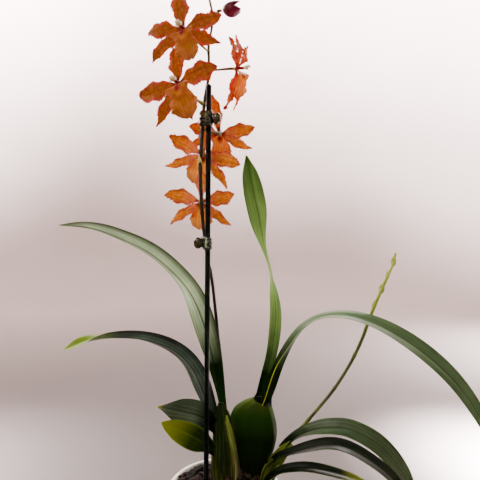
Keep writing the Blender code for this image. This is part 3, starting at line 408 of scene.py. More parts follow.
def leaf_skin(name, upper, deep, under, under_deep, tip, tip_start=0.8, edge="33501E",
              foot="10200A", foot_end=0.3, foot_stays=0.06, rib="24381A", foot_edge_glow=None,
              dusk=None, shine=0.3):
    """Living orchid leaf. Its waxy cuticle gives long soft highlights, and the parallel veins
    show as fine lines along the blade, with a darker groove along the midrib; the underside is
    paler and more matt."""
    look, tree, shader = start(name, IOR=1.45, Specular_IOR_Level=shine, Subsurface_Weight=0.12,
                               Subsurface_Scale=0.0012, Subsurface_Radius=(0.7, 1.0, 0.25))
    lie, along, across, side = surface_reads(tree, "along", "across", "under")
    # Veins stand about 1 mm apart; the drawn lines are 2 to 3 mm, coarse enough to show
    lines = add(tree, "Mapping", {"Vector": lie, "Scale": (9, 420, 1)})
    veins = add(tree, "TexNoise", {"Vector": lines, "Scale": 1.0, "Detail": 3.0, "Roughness": 0.6})
    patches = add(tree, "TexNoise", {"Vector": lie, "Scale": 38.0, "Detail": 4.0})
    fine = add(tree, "MapRange", {"Value": veins, "From Min": 0.4, "From Max": 0.62})
    broad = add(tree, "MapRange", {"Value": patches, "From Min": 0.3, "From Max": 0.72})
    mottle = add(tree, "Math", {0: fine, 1: broad}, operation="ADD")
    mottle = add(tree, "Math", {0: mottle, 1: 0.5}, operation="MULTIPLY")
    out = add(tree, "Math", {0: across}, operation="ABSOLUTE")
    midrib = add(tree, "ValToRGB", {"Fac": out}, [(0.0, 0.85), (0.05, 0.6), (0.11, 0.0)])
    margin = add(tree, "ValToRGB", {"Fac": out}, [(0.84, 0.0), (1.0, 0.75)])
    ageing = add(tree, "ValToRGB", {"Fac": along}, [(tip_start, 0.0), (1.0, 0.95)])
    # Painted shade: the foot, folded where it rises from its sheath, is coloured dark for the shade
    # it lies in
    foot_shade = add(tree, "ValToRGB", {"Fac": along}, [(foot_stays, 1.0), (foot_end, 0.0)])
    colour, low = [add(tree, "Mix", {FACTOR: mottle, FIRST: shade, SECOND: light}, out=MIXED,
                       data_type="RGBA") for shade, light in ((deep, upper), (under_deep, under))]
    layers = [(side, low), (midrib, rib), (margin, edge)]
    if dusk:
        # Toward one margin the folded blade lies in its own shade
        far_half = add(tree, "Math", {0: across, 1: -1.0}, operation="MULTIPLY")
        layers.append((add(tree, "ValToRGB", {"Fac": far_half}, [(0.35, 0.0), (0.9, 0.9)]), dusk))
    layers += [(ageing, tip), (foot_shade, foot)]
    if foot_edge_glow:
        # Painted light: near the foot the very margin on one side is coloured pale for the light
        # that shines through it
        edge_glow = add(tree, "ValToRGB", {"Fac": across}, [(0.88, 0.0), (0.97, 0.9)])
        edge_glow = add(tree, "Math", {0: edge_glow, 1: foot_shade}, operation="MULTIPLY")
        layers.append((edge_glow, foot_edge_glow))
    for mask, shade in layers:
        colour = add(tree, "Mix", {FACTOR: mask, FIRST: colour, SECOND: shade}, out=MIXED,
                     data_type="RGBA")
    # The foot has lost its wax, so it shines less than the blade
    waxy = add(tree, "MapRange", {"Value": foot_shade, "To Min": shine, "To Max": 0.0})
    gloss = add(tree, "MapRange", {"Value": patches, "To Min": 0.3, "To Max": 0.48})
    matt = add(tree, "Math", {0: side, 1: 0.12}, operation="MULTIPLY")
    gloss = add(tree, "Math", {0: gloss, 1: matt}, operation="ADD")
    bump = add(tree, "Bump", {"Height": veins, "Strength": 0.35, "Distance": 0.0003})
    return finished(look, shader, Base_Color=colour, Specular_IOR_Level=waxy, Roughness=gloss,
                    Normal=bump)


def petal_lines(tree, lie, across, count, strength):
    """Veins that fan out over a petal and wander a little: 1 to 2 mm apart, drawn at about 2 mm."""
    wander = add(tree, "TexNoise", {"Vector": lie, "Scale": 120.0, "Detail": 3.0})
    fan = add(tree, "Math", {0: across, 1: count}, operation="MULTIPLY")
    sway = add(tree, "Math", {0: wander, 1: 5.0}, operation="MULTIPLY")
    fan = add(tree, "Math", {0: fan, 1: sway}, operation="ADD")
    waves = add(tree, "Math", {0: fan}, operation="SINE")
    return wander, add(tree, "MapRange", {"Value": waves, "From Min": -0.2, "To Max": strength})


PETAL_TISSUE = dict(IOR=1.4, Subsurface_Weight=0.18, Subsurface_Scale=0.0009,
                    Subsurface_Radius=(1.0, 0.55, 0.2), Specular_IOR_Level=0.12)


def tepal_skin(name, body, heart, edge, back, back_deep, back_edge, vein, blush="D8685C"):
    """Living petal tissue: translucent and softly glossy. The face is a brownish orange that
    turns pink-red at the ruffled edge, and the back is a clearer amber, painted brighter for the
    light that shines through it from behind."""
    look, tree, shader = start(name, **PETAL_TISSUE)
    lie, along, across, side = surface_reads(tree, "along", "across", "under")
    wander, lines = petal_lines(tree, lie, across, 16.0, 0.2)
    mottle = add(tree, "TexNoise", {"Vector": lie, "Scale": 260.0, "Detail": 4.0,
                                    "Roughness": 0.65})
    mottle = add(tree, "MapRange", {"Value": mottle, "From Min": 0.35, "From Max": 0.68})
    colour, backlit_rear, edges = [
        add(tree, "Mix", {FACTOR: mask, FIRST: first, SECOND: second}, out=MIXED, data_type="RGBA")
        for mask, first, second in ((mottle, body, heart), (mottle, back, back_deep),
                                    (side, edge, back_edge))]
    out = add(tree, "Math", {0: across}, operation="ABSOLUTE")
    tips = add(tree, "MapRange", {"Value": along, "From Min": 0.7, "To Max": 0.75})
    out = add(tree, "Math", {0: out, 1: tips}, operation="MAXIMUM")
    out = add(tree, "Math", {0: out, 1: wander}, operation="ADD")
    rim = add(tree, "MapRange", {"Value": out, "From Min": 0.95, "From Max": 1.5, "To Max": 0.9},
              interpolation_type="SMOOTHSTEP")
    # The back is flushed pink toward its foot, and the very tip is a deep red
    flush = add(tree, "MapRange", {"Value": along, "From Min": 0.6, "From Max": 0.15,
                                   "To Max": 0.5})
    flush = add(tree, "Math", {0: flush, 1: side}, operation="MULTIPLY")
    ends = add(tree, "MapRange", {"Value": along, "From Min": 0.86, "To Max": 0.8})
    base = add(tree, "MapRange", {"Value": along, "From Min": 0.15, "From Max": 0.05,
                                  "To Max": 0.9})
    # Painted light: the back is coloured brighter for the light that shines through the petal from
    # behind
    for mask, shade in ((side, backlit_rear), (lines, vein), (rim, edges), (flush, blush), (ends, "9A2230"),
                        (base, "6A1410")):
        colour = add(tree, "Mix", {FACTOR: mask, FIRST: colour, SECOND: shade}, out=MIXED,
                     data_type="RGBA")
    gloss = add(tree, "MapRange", {"Value": mottle, "To Min": 0.42, "To Max": 0.6})
    bump = add(tree, "Bump", {"Height": lines, "Strength": 0.6, "Distance": 0.0005})
    bump = add(tree, "Bump", {"Height": mottle, "Strength": 0.15, "Distance": 0.0002,
                              "Normal": bump})
    return finished(look, shader, Base_Color=colour, Roughness=gloss, Normal=bump)


def lip_skin(name, face, face_pale, back, back_pale, vein, gold="B47A22", margin="B86038"):
    """The lip's petal tissue: brownish orange with a yellow callus, a crimson foot, a golden
    lobe and a warmer margin; its back is a clear light amber, painted brighter for the light that
    shines through it from behind."""
    look, tree, shader = start(name, **PETAL_TISSUE)
    lie, along, across, side = surface_reads(tree, "along", "across", "under")
    wander, lines = petal_lines(tree, lie, across, 24.0, 0.24)
    patches = add(tree, "MapRange", {"Value": wander, "From Min": 0.35, "From Max": 0.65})
    colour, backlit_rear = [add(tree, "Mix", {FACTOR: patches, FIRST: first, SECOND: second}, out=MIXED,
                        data_type="RGBA")
                    for first, second in ((face, face_pale), (back, back_pale))]
    # The wide lobe is more golden than the claw
    lobe = add(tree, "MapRange", {"Value": along, "From Min": 0.45, "From Max": 0.85,
                                  "To Max": 0.55})
    wide = add(tree, "Math", {0: across}, operation="ABSOLUTE")
    out = add(tree, "Math", {0: wide, 1: along}, operation="MAXIMUM")
    out = add(tree, "Math", {0: out, 1: wander}, operation="ADD")
    rim = add(tree, "MapRange", {"Value": out, "From Min": 1.15, "From Max": 1.55, "To Max": 0.75})
    # Painted light: the back is coloured brighter for the light that shines through the lip from
    # behind
    layers = [(side, backlit_rear), (lobe, gold), (lines, vein), (rim, margin)]
    # The callus and the crimson claw lie along the lip's middle
    narrow = add(tree, "MapRange", {"Value": wide, "From Min": 0.42, "From Max": 0.12})
    for begin, end, shade in ((0.44, 0.34, "C87410"), (0.36, 0.27, "740C10")):
        near = add(tree, "MapRange", {"Value": along, "From Min": begin, "From Max": end})
        layers.append((add(tree, "Math", {0: near, 1: narrow}, operation="MULTIPLY"), shade))
    for mask, shade in layers:
        colour = add(tree, "Mix", {FACTOR: mask, FIRST: colour, SECOND: shade}, out=MIXED,
                     data_type="RGBA")
    gloss = add(tree, "MapRange", {"Value": wander, "To Min": 0.4, "To Max": 0.6})
    bump = add(tree, "Bump", {"Height": lines, "Strength": 0.6, "Distance": 0.0005})
    return finished(look, shader, Base_Color=colour, Roughness=gloss, Normal=bump)


def fleshy_skin(name, ramp, gloss, mottled, scale, subsurface=0.1, radius=(0.6, 1.0, 0.3),
                bumpy=0.25, stretch=(1, 1, 1), shine=0.28, streak=None):
    """Living stem, bulb or bud skin: its colour runs along the piece, mottled in patches, and
    a smooth cuticle gives it a soft sheen."""
    look, tree, shader = start(name, IOR=1.45, Specular_IOR_Level=shine,
                               Subsurface_Weight=subsurface, Subsurface_Scale=0.0012,
                               Subsurface_Radius=radius)
    lie, along = surface_reads(tree, "along")
    lines = add(tree, "Mapping", {"Vector": lie, "Scale": stretch})
    patches = add(tree, "TexNoise", {"Vector": lines, "Scale": scale, "Detail": 5.0,
                                     "Roughness": 0.6})
    shift = add(tree, "MapRange", {"Value": patches, "From Min": 0.3, "From Max": 0.7,
                                   "To Min": -0.07, "To Max": 0.07})
    place = add(tree, "Math", {0: along, 1: shift}, operation="ADD")
    colour = add(tree, "ValToRGB", {"Fac": place}, ramp)
    spots = add(tree, "MapRange", {"Value": patches, "From Min": 0.42, "From Max": 0.62})
    colour = add(tree, "Mix", {FACTOR: spots, FIRST: colour, SECOND: mottled}, out=MIXED,
                 data_type="RGBA", blend_type="SOFT_LIGHT")
    if streak:
        # Thin places between the fibres let more light through
        thin = add(tree, "MapRange", {"Value": patches, "From Min": 0.5, "From Max": 0.68,
                                      "To Max": 0.85})
        colour = add(tree, "Mix", {FACTOR: thin, FIRST: colour, SECOND: streak}, out=MIXED,
                     data_type="RGBA")
    rough = add(tree, "MapRange", {"Value": patches, "To Min": gloss - 0.08, "To Max": gloss + 0.1})
    bump = add(tree, "Bump", {"Height": patches, "Strength": bumpy, "Distance": 0.0005})
    return finished(look, shader, Base_Color=colour, Roughness=rough, Normal=bump)


def papery_skin():
    """Dried sheath: thin brown papery tissue with long fibres, matt and a little translucent."""
    look, tree, shader = start("dried_sheath_papery", IOR=1.4, Roughness=0.75,
                               Subsurface_Weight=0.2, Subsurface_Scale=0.001,
                               Subsurface_Radius=(1.0, 0.6, 0.3))
    [lie] = surface_reads(tree)
    # Fibres are about 0.5 mm apart, drawn at 1.5 mm
    lines = add(tree, "Mapping", {"Vector": lie, "Scale": (60, 700, 1)})
    fibres = add(tree, "TexNoise", {"Vector": lines, "Scale": 1.0, "Detail": 5.0})
    colour = add(tree, "ValToRGB", {"Fac": fibres}, [(0.3, "140C05"), (0.5, "2E2010"),
                                                     (0.62, "46361C"), (0.75, "1E150A")])
    bump = add(tree, "Bump", {"Height": fibres, "Strength": 0.6, "Distance": 0.0006})
    return finished(look, shader, Base_Color=colour, Normal=bump)


def bark_skin():
    """Chipped pine bark: dark reddish brown, painted darker still for the shade under the plant,
    rough and layered, each chip its own tone.
    """
    look, tree, shader = start("pine_bark_chipped", IOR=1.5, Specular_IOR_Level=0.08)
    lie, tone = surface_reads(tree, "tone")
    # Bark layers are about 1 mm thick, drawn at 2 mm
    lines = add(tree, "Mapping", {"Vector": lie, "Scale": (90, 420, 1)})
    grain = add(tree, "TexNoise", {"Vector": lines, "Scale": 1.0, "Detail": 6.0, "Roughness": 0.7})
    place = add(tree, "TexCoord", out="Object")
    crumbs = add(tree, "TexNoise", {"Vector": place, "Scale": 700.0, "Detail": 4.0})
    mixed = add(tree, "Math", {0: grain, 1: tone}, operation="ADD")
    mixed = add(tree, "Math", {0: mixed, 1: 0.5}, operation="MULTIPLY")
    # These colours are painted darker than the bark's own for the shade that lies on it
    colour = add(tree, "ValToRGB", {"Fac": mixed}, [(0.2, "050302"), (0.42, "0E0806"),
                                                    (0.6, "1A0F0B"), (0.78, "2C1C13"),
                                                    (0.92, "4A3628")])
    gloss = add(tree, "MapRange", {"Value": crumbs, "From Min": 0.3, "From Max": 0.7,
                                   "To Min": 0.55, "To Max": 0.95})
    rough = add(tree, "Bump", {"Height": grain, "Strength": 0.9, "Distance": 0.0012})
    rough = add(tree, "Bump", {"Height": crumbs, "Strength": 0.5, "Distance": 0.0006,
                               "Normal": rough})
    return finished(look, shader, Base_Color=colour, Roughness=gloss, Normal=rough)


def plastic_skin(name, plain, worn, gloss, scale, subsurface=0.0, coat=0.0, shine=0.5):
    """Injection-moulded plastic: even colour with a fine moulded texture, slightly dulled by
    handling and water marks."""
    look, tree, shader = start(name, IOR=1.49, Subsurface_Weight=subsurface, Subsurface_Scale=0.001,
                               Subsurface_Radius=(0.8, 1.0, 0.5), Coat_Weight=coat,
                               Coat_Roughness=0.12, Specular_IOR_Level=shine)
    place = add(tree, "TexCoord", out="Object")
    marks = add(tree, "TexNoise", {"Vector": place, "Scale": scale, "Detail": 6.0,
                                   "Roughness": 0.65})
    # The moulded texture is about 0.1 mm, drawn at 1 mm
    moulded = add(tree, "TexNoise", {"Vector": place, "Scale": 1100.0, "Detail": 2.0})
    worn_at = add(tree, "MapRange", {"Value": marks, "From Min": 0.45, "From Max": 0.75})
    colour = add(tree, "Mix", {FACTOR: worn_at, FIRST: plain, SECOND: worn}, out=MIXED,
                 data_type="RGBA")
    rough = add(tree, "MapRange", {"Value": marks, "From Min": 0.3, "From Max": 0.7,
                                   "To Min": gloss - 0.06, "To Max": gloss + 0.12})
    bump = add(tree, "Bump", {"Height": moulded, "Strength": 0.12, "Distance": 0.0001})
    return finished(look, shader, Base_Color=colour, Roughness=rough, Normal=bump)


def backdrop_skin():
    """Matt painted studio board: pale warm grey with a very faint roller texture, and painted
    shade that darkens it round the middle of the floor."""
    look, tree, shader = start("studio_board_painted_matt", IOR=1.45, Roughness=0.9,
                               Specular_IOR_Level=0.2)
    place = add(tree, "TexCoord", out="Object")
    patches = add(tree, "TexNoise", {"Vector": place, "Scale": 3.0, "Detail": 8.0})
    pale = add(tree, "ValToRGB", {"Fac": patches}, [(0.3, "C9BFBB"), (0.7, "D0C6C2")])
    # Painted shade: the floor is coloured darker toward its middle
    reach = add(tree, "VectorMath", {0: place}, out="Value", operation="LENGTH")
    floor_shade = add(tree, "MapRange", {"Value": reach, "From Min": 0.3, "From Max": 2.6},
                 interpolation_type="SMOOTHSTEP")
    colour = add(tree, "Mix", {FACTOR: floor_shade, FIRST: "6C6866", SECOND: pale}, out=MIXED,
                 data_type="RGBA")
    return finished(look, shader, Base_Color=colour)


# Leaves

def leaf_rows(leaf, start, stop, rows, columns=25):
    """Points of a folded strap leaf along its keel: hints are the ways its upper side faces,
    and fold is how steeply each half rises from the keel, in degrees."""
    distances = np.linspace(start, stop, rows)
    reach = max(rows // 24, 1)
    points, ways = stations(leaf["route"], distances, reach)
    t = distances / route_length(leaf["route"])
    hint, widths, fold = (eased(read(leaf[key], t), reach) for key in ("hints", "widths", "fold"))
    face = unit(hint - ways * np.sum(hint * ways, axis=1, keepdims=True))
    side = np.cross(ways, face)
    half = leaf["half_width"] * np.maximum(widths, 0.03)
    rise = np.radians(fold)
    s = np.linspace(-1, 1, columns)
    keel = np.sqrt(s ** 2 + 0.06 ** 2) - 0.06
    # Each half is slightly crowned, and its margin waves gently
    crown = 0.05 * np.sin(math.pi * np.abs(s))
    turn = distances[:, None] / leaf.get("wave", 31.0) + np.where(s > 0, 2.0, 0.4)[None, :]
    ripple = leaf.get("ripple", 0.5) * np.sin(turn) * s ** 2 * np.minimum(1, 4 * t)[:, None]
    out = s[None, :, None] * np.cos(rise)[:, None, None] * side[:, None, :]
    lift = keel[None, :, None] * np.sin(rise)[:, None, None] + crown[None, :, None]
    grid = points[:, None, :] + half[:, None, None] * (out + lift * face[:, None, :])
    grid = grid + ripple[..., None] * face[:, None, :]
    lie = np.stack(np.broadcast_arrays(distances[:, None], half[:, None] * s[None, :]), axis=-1)
    return grid, lie


LEAF_WIDTHS = [(0, 0.5), (0.2, 0.6), (0.34, 0.62), (0.5, 0.45), (0.62, 0.5), (0.76, 0.92),
               (0.86, 1.0), (0.94, 0.72), (1, 0.08)]
STRAP_WIDTHS = [(0, 0.5), (0.12, 0.56), (0.3, 0.85), (0.6, 1.0), (0.84, 0.8), (0.95, 0.42),
                (1, 0.06)]
ARCH_WIDTHS = [(0, 0.62), (0.1, 0.85), (0.2, 0.8), (0.35, 0.82), (0.6, 1.0), (0.85, 0.82),
               (0.96, 0.4), (1, 0.06)]
SHORT_WIDTHS = [(0, 0.25), (0.25, 0.5), (0.42, 0.95), (0.6, 1.0), (0.78, 0.8), (0.93, 0.4),
                (1, 0.08)]
SHARP_WIDTHS = [(0, 0.25), (0.25, 0.5), (0.42, 0.95), (0.57, 1.0), (0.72, 0.84), (0.84, 0.48),
                (0.93, 0.2), (1, 0.05)]

BULB_LEAVES = {
    "leaf_upright": dict(
        route=[(37, 14, 192), (40, 13.5, 206), (45, 12.5, 228), (51, 10.5, 256), (55, 9, 289),
               (54.3, 8, 311), (50.3, 8, 340), (43.3, 7, 370), (36.4, 6, 402), (29.4, 4, 433),
               (23.4, 2, 463)],
        hints=[(0, (-0.3, -0.95, 0)), (0.25, (0.1, -1, 0)), (0.42, (-0.3, -0.95, 0)),
               (0.56, (-1, -0.15, 0)), (0.68, (-0.8, -0.6, 0)), (0.8, (-0.15, -1, 0.1)),
               (1, (0, -1, 0.1))],
        fold=[(0, 34), (0.3, 30), (0.5, 14), (0.65, 22), (0.8, 26), (1, 22)],
        half_width=11.5, widths=LEAF_WIDTHS, joint=14),
    "leaf_arch_right": dict(
        route=[(43, 5, 190), (49.5, 4, 203.5), (55, 2, 219.5), (63, -1, 245.5), (73.5, -5, 270.5),
               (82, -8, 284.5), (92, -11, 293.5), (104, -13, 298.5), (118, -16, 300),
               (136, -19, 298), (160, -22, 289.5), (189.5, -26, 272.5), (218, -30, 250),
               (239.3, -34, 226.5), (258, -37, 197), (272, -40, 162)],
        hints=[(0, (-0.95, -0.1, 0.2)), (0.2, (-0.9, -0.1, 0.4)), (0.34, (-0.3, -0.05, 0.95)),
               (0.5, (0.15, -0.45, 0.9)), (0.65, (0.3, -0.65, 0.7)), (0.8, (0.35, -0.75, 0.5)),
               (1, (0.4, -0.85, 0.3))],
        fold=[(0, 64), (0.15, 60), (0.25, 28), (0.35, 14), (0.5, 14), (1, 14)],
        half_width=12.0, widths=ARCH_WIDTHS, joint=17)}

LEFT_LEAVES = {
    "leaf_left_high": dict(
        route=[(-3, 1, 184), (-5, 1, 203), (-10.6, 1, 243), (-20.3, 2, 283.6), (-33.4, 2, 316.8),
               (-50, 1, 339), (-76.5, 0, 362), (-107, -2, 378), (-137, -4, 389), (-168, -7, 392)],
        hints=[(0, (0.7, 0.7, 0)), (0.2, (0.25, 0.95, 0)), (0.34, (0.05, 0.98, 0.15)),
               (0.5, (0.3, 0.75, 0.5)), (0.75, (0.15, 0.6, 0.75)), (1, (0, 0.4, 0.9))],
        fold=[(0, 44), (0.2, 26), (0.35, 16), (0.6, 22), (1, 18)],
        half_width=14.0, widths=STRAP_WIDTHS, joint=24),
    "leaf_left_mid": dict(
        route=[(-5, -3, 160), (-10, -3, 180), (-15.5, -3, 196), (-23, -3, 217), (-32.4, -4, 239),
               (-43.4, -7, 254.5), (-60.4, -11, 267), (-85, -15, 275.5), (-115, -19, 278),
               (-139, -23, 275), (-160, -26, 267.5)],
        hints=[(0, (0.5, 0.85, 0.2)), (0.22, (0.2, 0.95, 0.2)), (0.4, (0.3, 0.8, 0.45)),
               (0.6, (0.15, 0.7, 0.7)), (0.8, (0, 0.4, 0.9)), (1, (-0.2, -0.8, 0.6))],
        fold=[(0, 40), (0.25, 24), (0.5, 20), (1, 18)],
        half_width=13.5, widths=STRAP_WIDTHS, joint=41),
    "leaf_left_dark": dict(
        route=[(-3, -3, 166), (-13, -3.5, 180), (-27, -5, 190), (-44, -10, 197), (-68, -18, 205)],
        hints=[(0, (0.3, -0.95, 0.1)), (1, (0.2, -0.95, 0.1))],
        fold=[(0, 20), (1, 10)],
        half_width=16.0, widths=SHARP_WIDTHS, joint=20),
    "leaf_left_yellow": dict(
        route=[(-1, -6, 141), (-13, -7, 155), (-27, -9.8, 166), (-43, -16.5, 178), (-63, -26, 192)],
        hints=[(0, (0.1, -0.95, 0)), (1, (0.2, -0.95, 0.1))],
        fold=[(0, 14), (1, 12)],
        half_width=13.5, widths=SHORT_WIDTHS, joint=23)}

RIGHT_LEAVES = {
    "leaf_right_upper": dict(
        route=[(62, -4, 152), (70, -3, 160.5), (81, -2, 168), (97, -4, 174.5), (114, -8, 178.5),
               (132, -12, 178), (154, -18, 169), (172, -24, 154), (186, -28, 134), (197, -31, 110)],
        hints=[(0, (-0.5, -0.5, 0.7)), (0.3, (-0.1, -0.6, 0.8)), (0.55, (0.15, -0.8, 0.6)),
               (1, (0.4, -0.85, 0.3))],
        fold=[(0, 40), (0.3, 20), (1, 14)],
        half_width=11.0, widths=STRAP_WIDTHS, joint=16),
    "leaf_right_mid": dict(
        route=[(46, -12, 138), (57, -13, 148), (69, -15, 153.5), (87.6, -19, 161), (107, -24, 167),
               (124.6, -29, 166.5), (144, -34, 158), (163, -39, 145.5), (177, -43, 131),
               (189, -45, 114)],
        hints=[(0, (-0.5, -0.4, 0.8)), (0.3, (-0.1, -0.4, 0.9)), (0.6, (0.25, -0.45, 0.85)),
               (1, (0.5, -0.7, 0.4))],
        fold=[(0, 40), (0.3, 24), (1, 18)],
        half_width=9.0, widths=STRAP_WIDTHS, joint=20),
    "leaf_right_low": dict(
        route=[(41, -13, 118), (50, -17, 130), (60, -20, 137.5), (76, -25, 143), (91, -29, 144.5),
               (108, -34, 143.5), (125, -39, 141), (138, -43, 138), (150, -46, 134)],
        hints=[(0, (-0.5, -0.7, 0.6)), (0.3, (-0.1, -0.5, 0.9)), (0.7, (0.2, -0.4, 0.9)),
               (1, (0.3, -0.5, 0.8))],
        fold=[(0, 36), (0.3, 22), (1, 16)],
        half_width=6.8, widths=STRAP_WIDTHS, joint=18)}


def make_leaf(name, leaf, look):
    """A leaf's free blade, from its joint to its tip."""
    length = route_length(leaf["route"])
    rows = int(40 + length / 2.4)
    grid, lie = leaf_rows(leaf, leaf["joint"], length, rows)
    made = blade(grid, BLADE, lie, face_up=-1, keel=0.9, span=(leaf["joint"] / length, 1))
    piece(name + "_blade", [made], [look], name)


# A foot reaches this far over its blade's end and is a little thicker, so that no seam shows
SEAM_COVER = 1.2
STUB_BLADE = BLADE * 1.15


def leaf_stubs(leaves, first_look):
    """The feet of leaves below their joints, which their shoot or bulb carries."""
    feet = []
    for i, leaf in enumerate(leaves.values()):
        grid, lie = leaf_rows(leaf, 0.0, leaf["joint"] + SEAM_COVER, 14)
        span = (0, leaf["joint"] / route_length(leaf["route"]))
        feet.append(blade(grid, STUB_BLADE, lie, first_look + i, face_up=-1, keel=0.9, span=span))
    return feet


# Blooms

PETAL_WIDTHS = [(0, 0.14), (0.15, 0.42), (0.35, 0.88), (0.55, 1.0), (0.72, 0.9), (0.86, 0.58),
                (0.95, 0.28), (1, 0.07)]
BLUNT_WIDTHS = [(0, 0.14), (0.15, 0.4), (0.35, 0.84), (0.55, 1.0), (0.72, 0.9), (0.86, 0.64),
                (0.95, 0.38), (1, 0.12)]
SEPAL_WIDTHS = [(0, 0.18), (0.15, 0.46), (0.34, 0.88), (0.52, 1.0), (0.7, 0.86), (0.85, 0.48),
                (0.95, 0.22), (1, 0.06)]
# The petals with a blunt, rolled end
BLUNT_PETALS = (("bloom_a", 2), ("bloom_b", 2))
PETAL_PLACES = (1, 2)
# Bloom C's petals and lip are a clearer orange than the others', and their own copies of the
# # tissue are painted brighter for the strong light that falls into it
CORAL_BLOOM = "bloom_c"
# How far from the middle of its hub a tepal starts
TEPAL_START = 1.8
LIP_WIDTHS = [(0, 0.2), (0.1, 0.5), (0.2, 0.92), (0.34, 0.72), (0.5, 0.9), (0.68, 1.0),
              (0.84, 0.8), (0.94, 0.5), (1, 0.2)]

# Each bloom: where its hub is, the way it faces, its lean, the reach of its lip, and its
# five tepals (dorsal sepal, two petals, two lateral sepals), each as the angle seen from
# the bloom's face, the length, the half width and how far the tip sweeps forward.
BLOOMS = {
    "bloom_a": dict(
        hub=(-37.0, -27, 579.5), facing=(-0.3, -0.95, 0.05), lean=18, lip=32,
        tepals=[(101, 45, 8.8, -7), (16, 38, 8.4, -4), (176, 40, 8.0, -3), (-25, 39, 6.4, -3),
                (217, 44, 6.8, 0)]),
    "bloom_b": dict(
        hub=(-43.5, -20, 531), facing=(-0.3, -0.95, 0.0), lean=22, lip=37,
        tepals=[(93, 36, 8.4, 1), (19, 43, 10.2, 3), (195, 46, 9.8, -3), (-70, 36, 6.0, -8),
                (238, 49, 6.2, -5)]),
    "bloom_c": dict(
        hub=(14.5, 0, 549), facing=(0.84, -0.52, -0.16), lean=0, lip=29,
        tepals=[(84, 35, 5.4, -9), (52, 36, 4.8, -5), (128, 33, 5.4, 1), (-72, 42, 5.2, -4),
                (256, 43, 6.6, 0)]),
    "bloom_d": dict(
        hub=(-4.9, 21, 487), facing=(-0.1, 0.98, 0.12), lean=-8, lip=28,
        tepals=[(80, 41, 6.4, 2), (15, 33, 7.4, 0), (171, 38, 7.6, 0), (-22, 37, 4.4, -2),
                (206, 38, 5.0, -2)]),
    "bloom_e": dict(
        hub=(-21.8, 13, 465), facing=(0.1, 0.98, 0.1), lean=20, lip=33,
        tepals=[(97, 36, 6.4, 2), (28, 40, 8.0, 0), (194, 41, 8.2, 0), (-19, 42, 5.2, -3),
                (232, 44, 5.2, -3)]),
    "bloom_f": dict(
        hub=(-24, 13, 415.5), facing=(0, 0.99, 0.1), lean=2, lip=31,
        tepals=[(92, 36, 5.4, 3), (14, 39, 8.0, 0), (170, 36, 8.0, 0), (-33, 40, 5.0, -3),
                (221, 40, 5.0, -3)])}

# Buds: where the base is and the way each points
BUDS = {
    "bud_open": dict(base=(-0.8, 0, 606), facing=(0.93, 0, 0.15)),
    "bud_closed": dict(base=(-20, 2, 631), facing=(-0.6, 0.1, 0.8), length=13, radius=3.9),
    "bud_tip": dict(base=(-10.33, 1.02, 639.35), facing=(0.25, 0.05, 0.97), length=9, radius=2.6)}
BUD_WIDTHS = [(0, 0.35), (0.15, 0.7), (0.45, 1.0), (0.75, 0.78), (0.93, 0.4), (1, 0.12)]
# The open bud's three sepals: turn, length, half width, spread and how far the tip closes
OPEN_SEPALS = ((90, 19, 4.8, 6.6, 0.9), (215, 18.5, 5.6, 7.8, 0.55), (325, 18.5, 5.6, 7.8, 0.55))


def bloom_frame(facing, lean=0):
    """Right, up and forward of a bloom or a bud that faces a way and leans over by degrees."""
    forward = unit(np.array(facing, float))
    up = unit(np.array((0, 0, 1.0)) - forward * forward[2])
    right = np.cross(up, forward)
    lean = math.radians(lean)
    return (right * math.cos(lean) + up * math.sin(lean),
            up * math.cos(lean) - right * math.sin(lean), forward)


def tepal_rows(length, half, sweep, widths, phase, rows=76, columns=23):
    """A ruffled tepal that lies along +X from the hub, its face to +Z."""
    t, s = sheet_places(rows, columns)
    sign = np.tanh(5 * s)
    reach = TEPAL_START + t * (length - TEPAL_START) + 0 * s
    lift = -1.0 + sweep * t ** 1.6 + 2.0 * np.sin(math.pi * t)
    width = half * eased(read(widths, t[:, 0]), 2)[:, None]
    rim = np.abs(s) ** 4 * np.minimum(1.0, 2.4 * t)
    crest = 1.5 * np.sin(9.5 * t + phase + 1.1 + 1.1 * sign)
    frill = (0.8 * np.sin(27 * t + 2.3 * phase + 1.7 * sign)
             + 0.5 * np.sin(49 * t + phase - 2 * sign))
    trim = 1 + 0.13 * np.sin(17 * t + phase * 2 + s)
    # The margin is cut into fine forward-pointing teeth, a little under 2 mm apart, which
    # come and go along it
    tooth = (t * (0.4 * length) + 0.6 * np.sin(9 * t + phase) + 0.5 * sign + phase) % 1
    teeth = (1.9 * tooth ** 1.5 - 0.8) / np.maximum(width, 2.0)
    teeth = teeth * (0.62 + 0.38 * np.sin(11 * t + 2.7 * phase + 1.9 * sign))
    # The halves rise from a groove along the middle
    fold = 0.2 * width * (np.sqrt(s ** 2 + 0.01) - 0.45)
    wave = crest * s * s * np.minimum(1.0, 2.2 * t) + frill * rim
    hook = HOOK * math.sin(5 * phase) * np.clip((t - 0.7) / 0.3, 0, 1) ** 2
    curl = -1.6 * np.clip((t - 0.72) / 0.28, 0, 1) ** 2
    pucker = 0.22 * np.cos(3 * math.pi * s + 3 * t) * np.sin(math.pi * t)
    grid = np.stack([reach, s * width * (trim + teeth * rim) + hook,
                     lift + wave + fold + curl + pucker - 0.1 * width * s * s], axis=-1)
    return grid, np.stack([reach, s * width], axis=-1)


